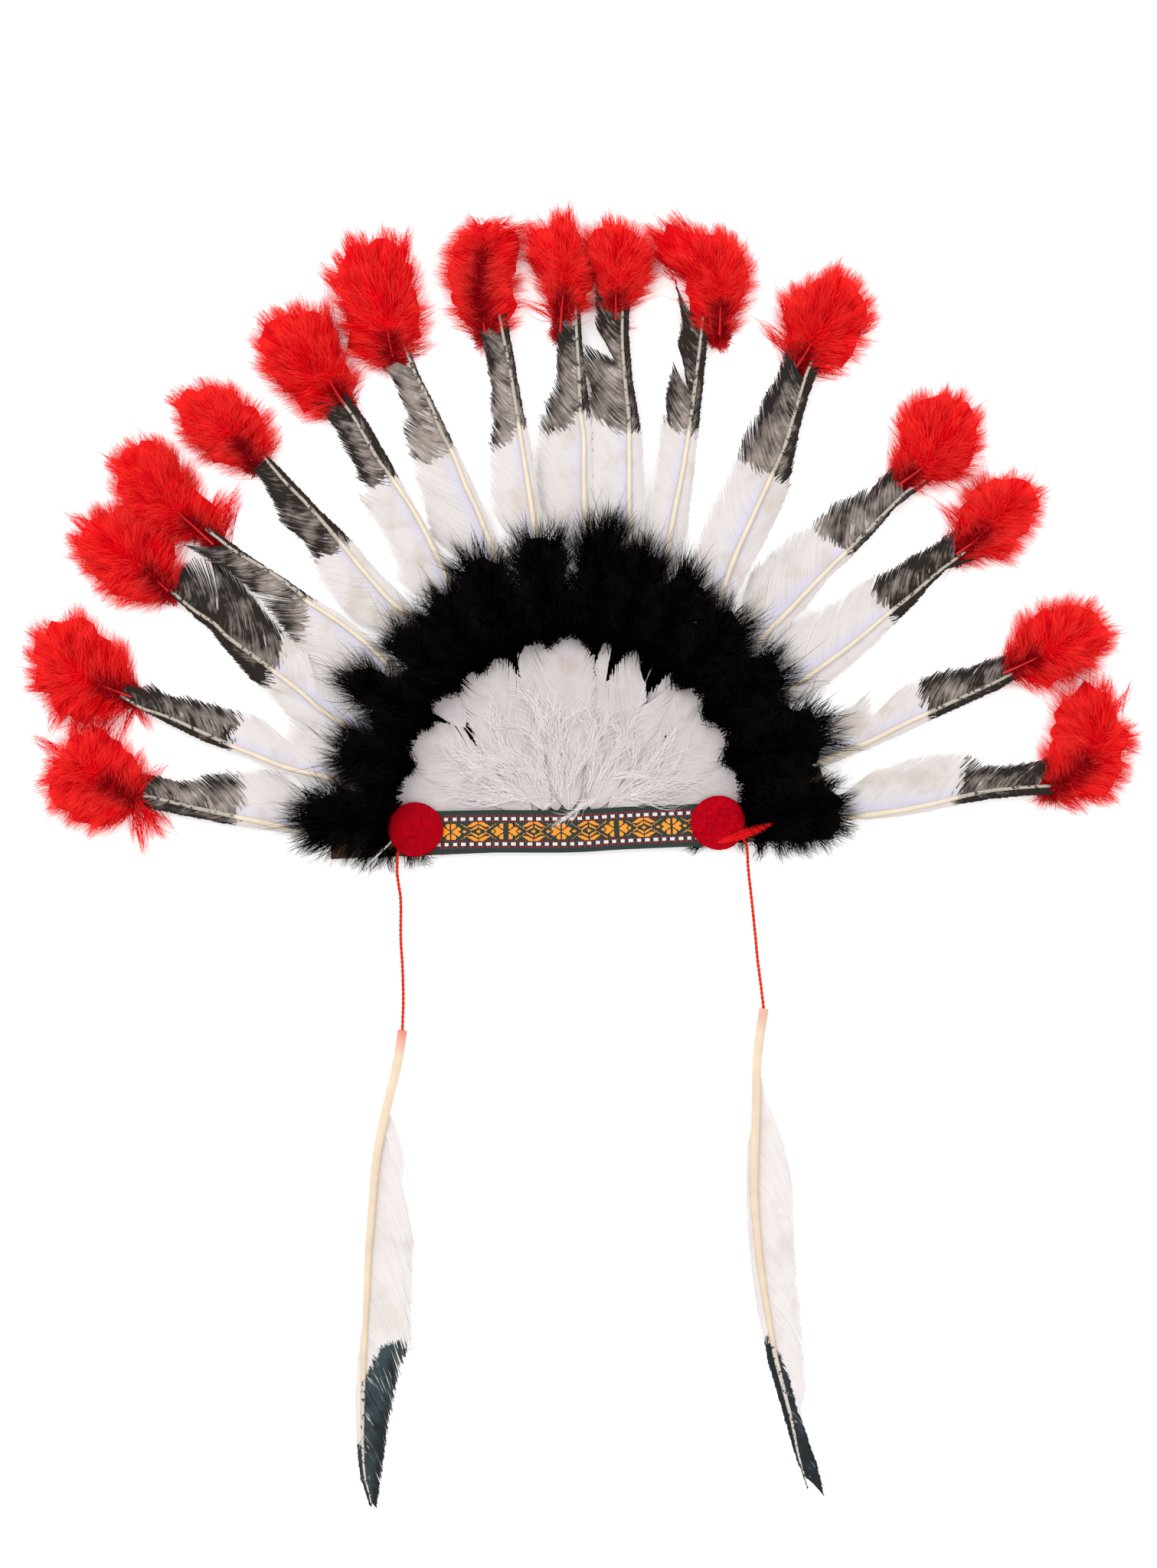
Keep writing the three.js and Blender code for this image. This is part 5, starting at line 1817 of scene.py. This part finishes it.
@dataclass
class Rosettes:
    """Crimson felt discs on the ends of the browband."""

    # node, place and tone
    places: tuple = (("rosette_left", -92.4, 1.0, 0.55), ("rosette_right", 88.3, 4.9, 0.95))
    radius: float = 16.25
    low: float = 7.4
    thickness: float = 2.5
    turns: int = 72
    fibres: int = 900
    # share of the radius and of the thickness, from the middle of the top round to the underside
    profile: Points = (
        (0.25, 1.0), (0.5, 1.0), (0.75, 0.99), (0.92, 0.97), (0.975, 0.88), (1.0, 0.6), (1.0, 0.3),
        (0.97, 0.05), (0.9, 0.0), (0.5, 0.0),
    )

    def disc(self, name: str, centre: Array, tone: float, seed: int, material: Material) -> Piece:
        """Felt disc with a softened, slightly uneven rim."""
        rng = np.random.default_rng(seed)
        turns = self.turns
        angle = np.arange(turns) * FULL / turns
        uneven = 1 + 0.012 * np.sin(3 * angle + rng.uniform(0, 6)) + rng.normal(0, 0.004, turns)
        rings = []
        for out, up in self.profile:
            ring = self.radius * out * (uneven if out > 0.8 else np.ones(turns))
            rough = rng.normal(0, 0.05, turns) if up > 0.5 else np.zeros(turns)
            height = self.low + self.thickness * up + rough
            rings.append(np.column_stack([centre + scaled(heading(angle), ring), height]))
        top, under = [*centre, self.low + self.thickness], [*centre, self.low]
        return round_body(name, rings, top, under, tone, material)

    def fuzz(self, centre: Array, tone: float, seed: int) -> Strands:
        """Short loose fibres over the face and round the rim."""
        rng = np.random.default_rng(seed)
        count = self.fibres
        way = heading(rng.uniform(0, FULL, count))
        out = np.where(rng.uniform(0, 1, count) < 0.5, 1.0, np.sqrt(rng.uniform(0, 1, count)))
        root = centre + scaled(way, self.radius * out * 0.985)
        lean = turned(way, rng.uniform(-2.2, 2.2, count))
        length = rng.uniform(0.6, 2.0, count)
        z = np.where(out > 0.99, self.low + rng.uniform(0.5, 2.3, count), self.low + self.thickness)
        run = np.column_stack([scaled(lean, length), rng.uniform(0.0, 0.5, count)])
        bow = scaled(turned(lean, QUARTER), rng.normal(0, 0.3, count))
        bend = np.column_stack([bow, rng.uniform(0, 0.3, count)])
        tilt = rng.normal(0, 0.5, count)
        more = {"tone": np.full(count, tone)}
        return Strands(np.column_stack([root, z]), run, bend, np.full(count, 0.1), tilt, more)

    def build(self, kit: Kit) -> list[Piece]:
        """Make and place both discs."""
        made = []
        for index, (node, x, y, tone) in enumerate(self.places):
            centre = np.array([x, y])
            body = self.disc(node, centre, tone, 600 + index, kit.materials["rosette_felt"])
            fuzz = self.fuzz(centre, tone, 610 + index)
            fuzz = fuzz.grow(f"{node}_fuzz", kit, "rosette_felt", Segments=2)
            made.append(dress(joined(node, [body, fuzz]), "rosette_felt", node))
        return made


@dataclass
class Wisp:
    """Stray red feather across the right disc."""

    spine: Points = ((88, -7, 10.9), (96, -4.5, 11.5), (104, -1.6, 16.0), (112, 1.6, 20.5), (120, 5, 23.5))
    barb_length: float = 6.2
    barb_angle: float = 32.0

    def build(self, kit: Kit) -> list[Piece]:
        """Make the wisp's stem and barbs."""
        rng = np.random.default_rng(700)
        line = smooth_line(self.spine, 0.5)
        count = len(line)
        ahead = unit(np.gradient(line[:, :2], axis=0))
        parts = [tube("red_wisp_stem", line, np.linspace(0.3, 0.15, count), kit, "red_stem", 6)]
        swell = self.barb_length * np.sin(math.pi * np.clip(np.linspace(0, 1, count) * 0.85 + 0.12, 0, 1))
        for sign in (1, -1):
            way = turned(ahead, sign * math.radians(self.barb_angle))
            length = swell * rng.uniform(0.6, 1.1, count)
            run = np.column_stack([scaled(way, length), rng.uniform(-0.4, 0.8, count)])
            bend = np.column_stack([-ahead * 0.4, np.full(count, 0.2)])
            tilt = rng.normal(0, 0.3, count)
            more = {"tone": rng.uniform(0.6, 1.0, count)}
            strands = Strands(line, run, bend, np.full(count, 0.35), tilt, more)
            parts.append(strands.grow("red_wisp_side", kit, "red_marabou", Segments=3))
        return [dress(joined("red_wisp", parts), "red_marabou", "red_wisp")]


# ------------------------------------------------------------------ cords


@dataclass(frozen=True)
class Cord:
    """One twisted cord: its route, its thickness, and how it is laid."""

    node: str
    slot: str
    diameter: float
    plies: int
    pitch: float
    route: Points
    ply_share: float = 0.56

    def make(self, kit: Kit) -> Piece:
        line = smooth_line(self.route, 0.7)
        ply = self.diameter / 2 * self.ply_share
        sizes = {"Ply_radius": ply * MM, "Lay_radius": (self.diameter / 2 - ply) * MM, "Sides": 7}
        piece = kit.twist.bake(
            line_object(self.node, line), kit.materials[self.slot], Plies=self.plies,
            Pitch=self.pitch * MM, **sizes,
        )
        piece = dress(piece, self.slot, self.node)
        length = float(arc_lengths(line)[-1]) * MM
        return piece


@dataclass
class Cords:
    """Red yarn cords that the hanging feathers are tied to, and the elastic."""

    cords: tuple[Cord, ...] = (
        Cord("cord_left", "red_yarn", 2.0, 2, 5.5, (
            (-101.5, -6, 4.6), (-103, -12, 4.6), (-103.8, -18, 3.6), (-104, -26, 1), (-103.2, -33, -0.6),
            (-102, -43, -0.9), (-102, -65, -0.9), (-101, -82, -0.9), (-100.5, -102, -0.8),
            (-101, -120.5, 0.4),
        )),
        Cord("cord_right", "red_yarn", 2.0, 2, 5.5, (
            (101, -1, 4.6), (105, -7.5, 4.6), (106, -13, 3.6), (106.5, -20, 1), (107.2, -27, -0.6),
            (108.5, -38, -0.9), (111, -62, -0.9), (112.5, -78, -0.9), (114.3, -92, -0.8),
            (116, -106.5, 0.4),
        )),
        Cord("elastic", "white_elastic", 1.4, 3, 3.0, (
            (-102, 1, 4.8), (-107, -6, 4.8), (-113.5, -12.5, 4.6), (-119.5, -18.5, 3.7), (-123.5, -23, 1.6),
            (-123, -24, -0.6), (-119, -18, -1.2), (-114, -6, -1.2), (-106, 9, -1.2), (-91, 26, -1.2),
            (-68, 41, -1.2), (-38, 51, -1.2), (2, 55, -1.2), (42, 51, -1.2), (68, 40, -1.2),
            (82, 23, -1.2), (88, 5, -1.2),
        )),
    )

    def build(self, kit: Kit) -> list[Piece]:
        """Make and place the cords and the elastic."""
        return [cord.make(kit) for cord in self.cords]


# the left and the right hanging feather
DROP_FEATHERS = (
    FeatherShape(
        quill=(
            (-101, -121), (-104, -140), (-110, -165), (-114.5, -185), (-117.5, -205), (-119.5, -230),
            (-121.5, -255), (-122.5, -280), (-123.5, -300), (-124.5, -330), (-125, -360), (-124, -385),
            (-121, -399),
        ),
        left=(
            (-113, -178), (-111, -190), (-99, -213), (-94, -230), (-95, -261), (-96, -306), (-103, -322),
            (-109, -353), (-115, -394), (-116, -401),
        ),
        right=((-125.5, -300), (-128, -320), (-129.5, -345), (-128.5, -370), (-126, -390), (-122, -401)),
        paint=((-124.5, -330), (-95, -308)), cover=0.3, narrow_paint=(-124.7, -368),
    ),
    FeatherShape(
        quill=(
            (116, -108), (113.5, -125), (112, -140), (111.5, -160), (111, -180), (110.5, -200),
            (110.5, -220), (112, -240), (114, -260), (117, -280), (120, -298), (123, -315), (128, -335),
            (133, -355), (137, -375), (141, -389),
        ),
        left=(
            (115, -150), (118, -165), (125, -180), (131, -200), (134.5, -220), (134, -240), (135, -260),
            (137, -280), (138.5, -300), (139.5, -315), (141.5, -335), (138, -350), (143, -366), (149, -384),
            (151, -394),
        ),
        right=(
            (110, -175), (106, -190), (105.5, -212), (106.5, -240), (108.5, -260), (112, -287), (116, -305),
            (119, -320), (126.5, -345), (133.5, -370), (142, -394),
        ),
        paint=((121, -307), (141, -362)), cover=0.85,
    ),
)


@dataclass
class HangingFeathers:
    """The two feathers tied to the cords."""

    nodes: Sequence[str] = ("drop_feather_left", "drop_feather_right")
    tinges: Sequence[float] = (0.9, 0.45)
    radius_root: float = 2.9
    radius_tip: float = 0.4
    taper: float = 1.7

    def height(self, share: Array) -> Array:
        """The quill rests on the floor."""
        radius = self.radius_root + (self.radius_tip - self.radius_root) * share**self.taper
        return FLOOR_Z + radius * 0.7

    def build(self, kit: Kit) -> list[Piece]:
        """Make and place both feathers on the floor."""
        kind = FeatherBuild(
            spacing=0.7, broad_angle=28, narrow_angle=20, root_length=1.2, tip_length=6.0,
            quill_root=self.radius_root, quill_tip=self.radius_tip, quill_power=self.taper, droop=0.3,
            width=0.95, splits=9, split_width=0.9,
        )
        made = []
        for index, (node, shape, tinge) in enumerate(zip(self.nodes, DROP_FEATHERS, self.tinges)):
            feather = Feather(node, shape, kind, self.height, seed=800 + index)
            made.append(dress(feather.make(kit, "drop_vane", "drop_quill", tinge), "drop_feather", node))
        return made


# ------------------------------------------------------------------ studio


@dataclass
class Studio:
    """Pale floor, soft light and a camera straight above."""

    centre: tuple[float, float] = (4.83, 28.06)
    view_height: float = 942.0
    distance: float = 1600.0
    sensor: float = 36.0
    floor_reach: float = 4000.0
    world_colour: Colour = (1.0, 0.995, 0.99)
    world_strength: float = 1.0
    lamp_size: float = 1200.0
    # place and power in watts of each softbox
    lamps: tuple = (((-900, 900, 1500), 16.0), ((1000, 300, 1700), 8.0))

    def build(self, kit: Kit) -> None:
        """Add the floor, the light and the camera."""
        corners = [
            [self.centre[0] + x * self.floor_reach, self.centre[1] + y * self.floor_reach, FLOOR_Z]
            for x, y in ((-1, -1), (1, -1), (1, 1), (-1, 1))
        ]
        floor = mesh_object("floor", np.array(corners), [(0, 1, 2, 3)])
        floor.data.materials.append(kit.materials["pale_floor"])
        scene = bpy.context.scene
        world = bpy.data.worlds.new("soft_studio")
        world.use_nodes = True
        background = world.node_tree.nodes["Background"]
        background.inputs["Color"].default_value = solid(self.world_colour)
        background.inputs["Strength"].default_value = self.world_strength
        scene.world = world
        for place, power in self.lamps:
            data = bpy.data.lights.new("softbox", "AREA")
            data.shape, data.size, data.energy = "SQUARE", self.lamp_size * MM, power
            lamp = bpy.data.objects.new("softbox", data)
            lamp.location = Vector(place) * MM
            aim = Vector((*self.centre, 0)) * MM - lamp.location
            lamp.rotation_euler = aim.to_track_quat("-Z", "Y").to_euler()
            scene.collection.objects.link(lamp)
        data = bpy.data.cameras.new("camera")
        data.sensor_width = self.sensor
        data.lens = self.sensor * self.distance / self.view_height
        camera = bpy.data.objects.new("camera", data)
        camera.location = Vector((*self.centre, self.distance)) * MM
        scene.collection.objects.link(camera)
        scene.camera = camera
        scene.view_settings.view_transform = "Standard"


def dress_backing(frame: dict, kit: Kit) -> None:
    """Give the backing's own solid its felt."""
    backing = frame["nodes"]["backing"]
    backing.data.materials.clear()
    backing.data.materials.append(kit.materials["backing_felt"])


def main() -> None:
    """Build the headdress piece by piece."""
    logging.basicConfig(level=logging.INFO, format="%(message)s")
    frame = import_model()
    kit = Kit()
    Studio().build(kit)
    Cords().build(kit)
    dress_backing(frame, kit)
    for kind in (
        LongFeathers, RedFluffs, BlackRing, WhiteFan, Browband, Rosettes, Wisp, HangingFeathers
    ):
        made = kind().build(kit)
        LOG.info("%s: %d pieces", kind.__name__, len(made))


if __name__ == "__main__":
    main()
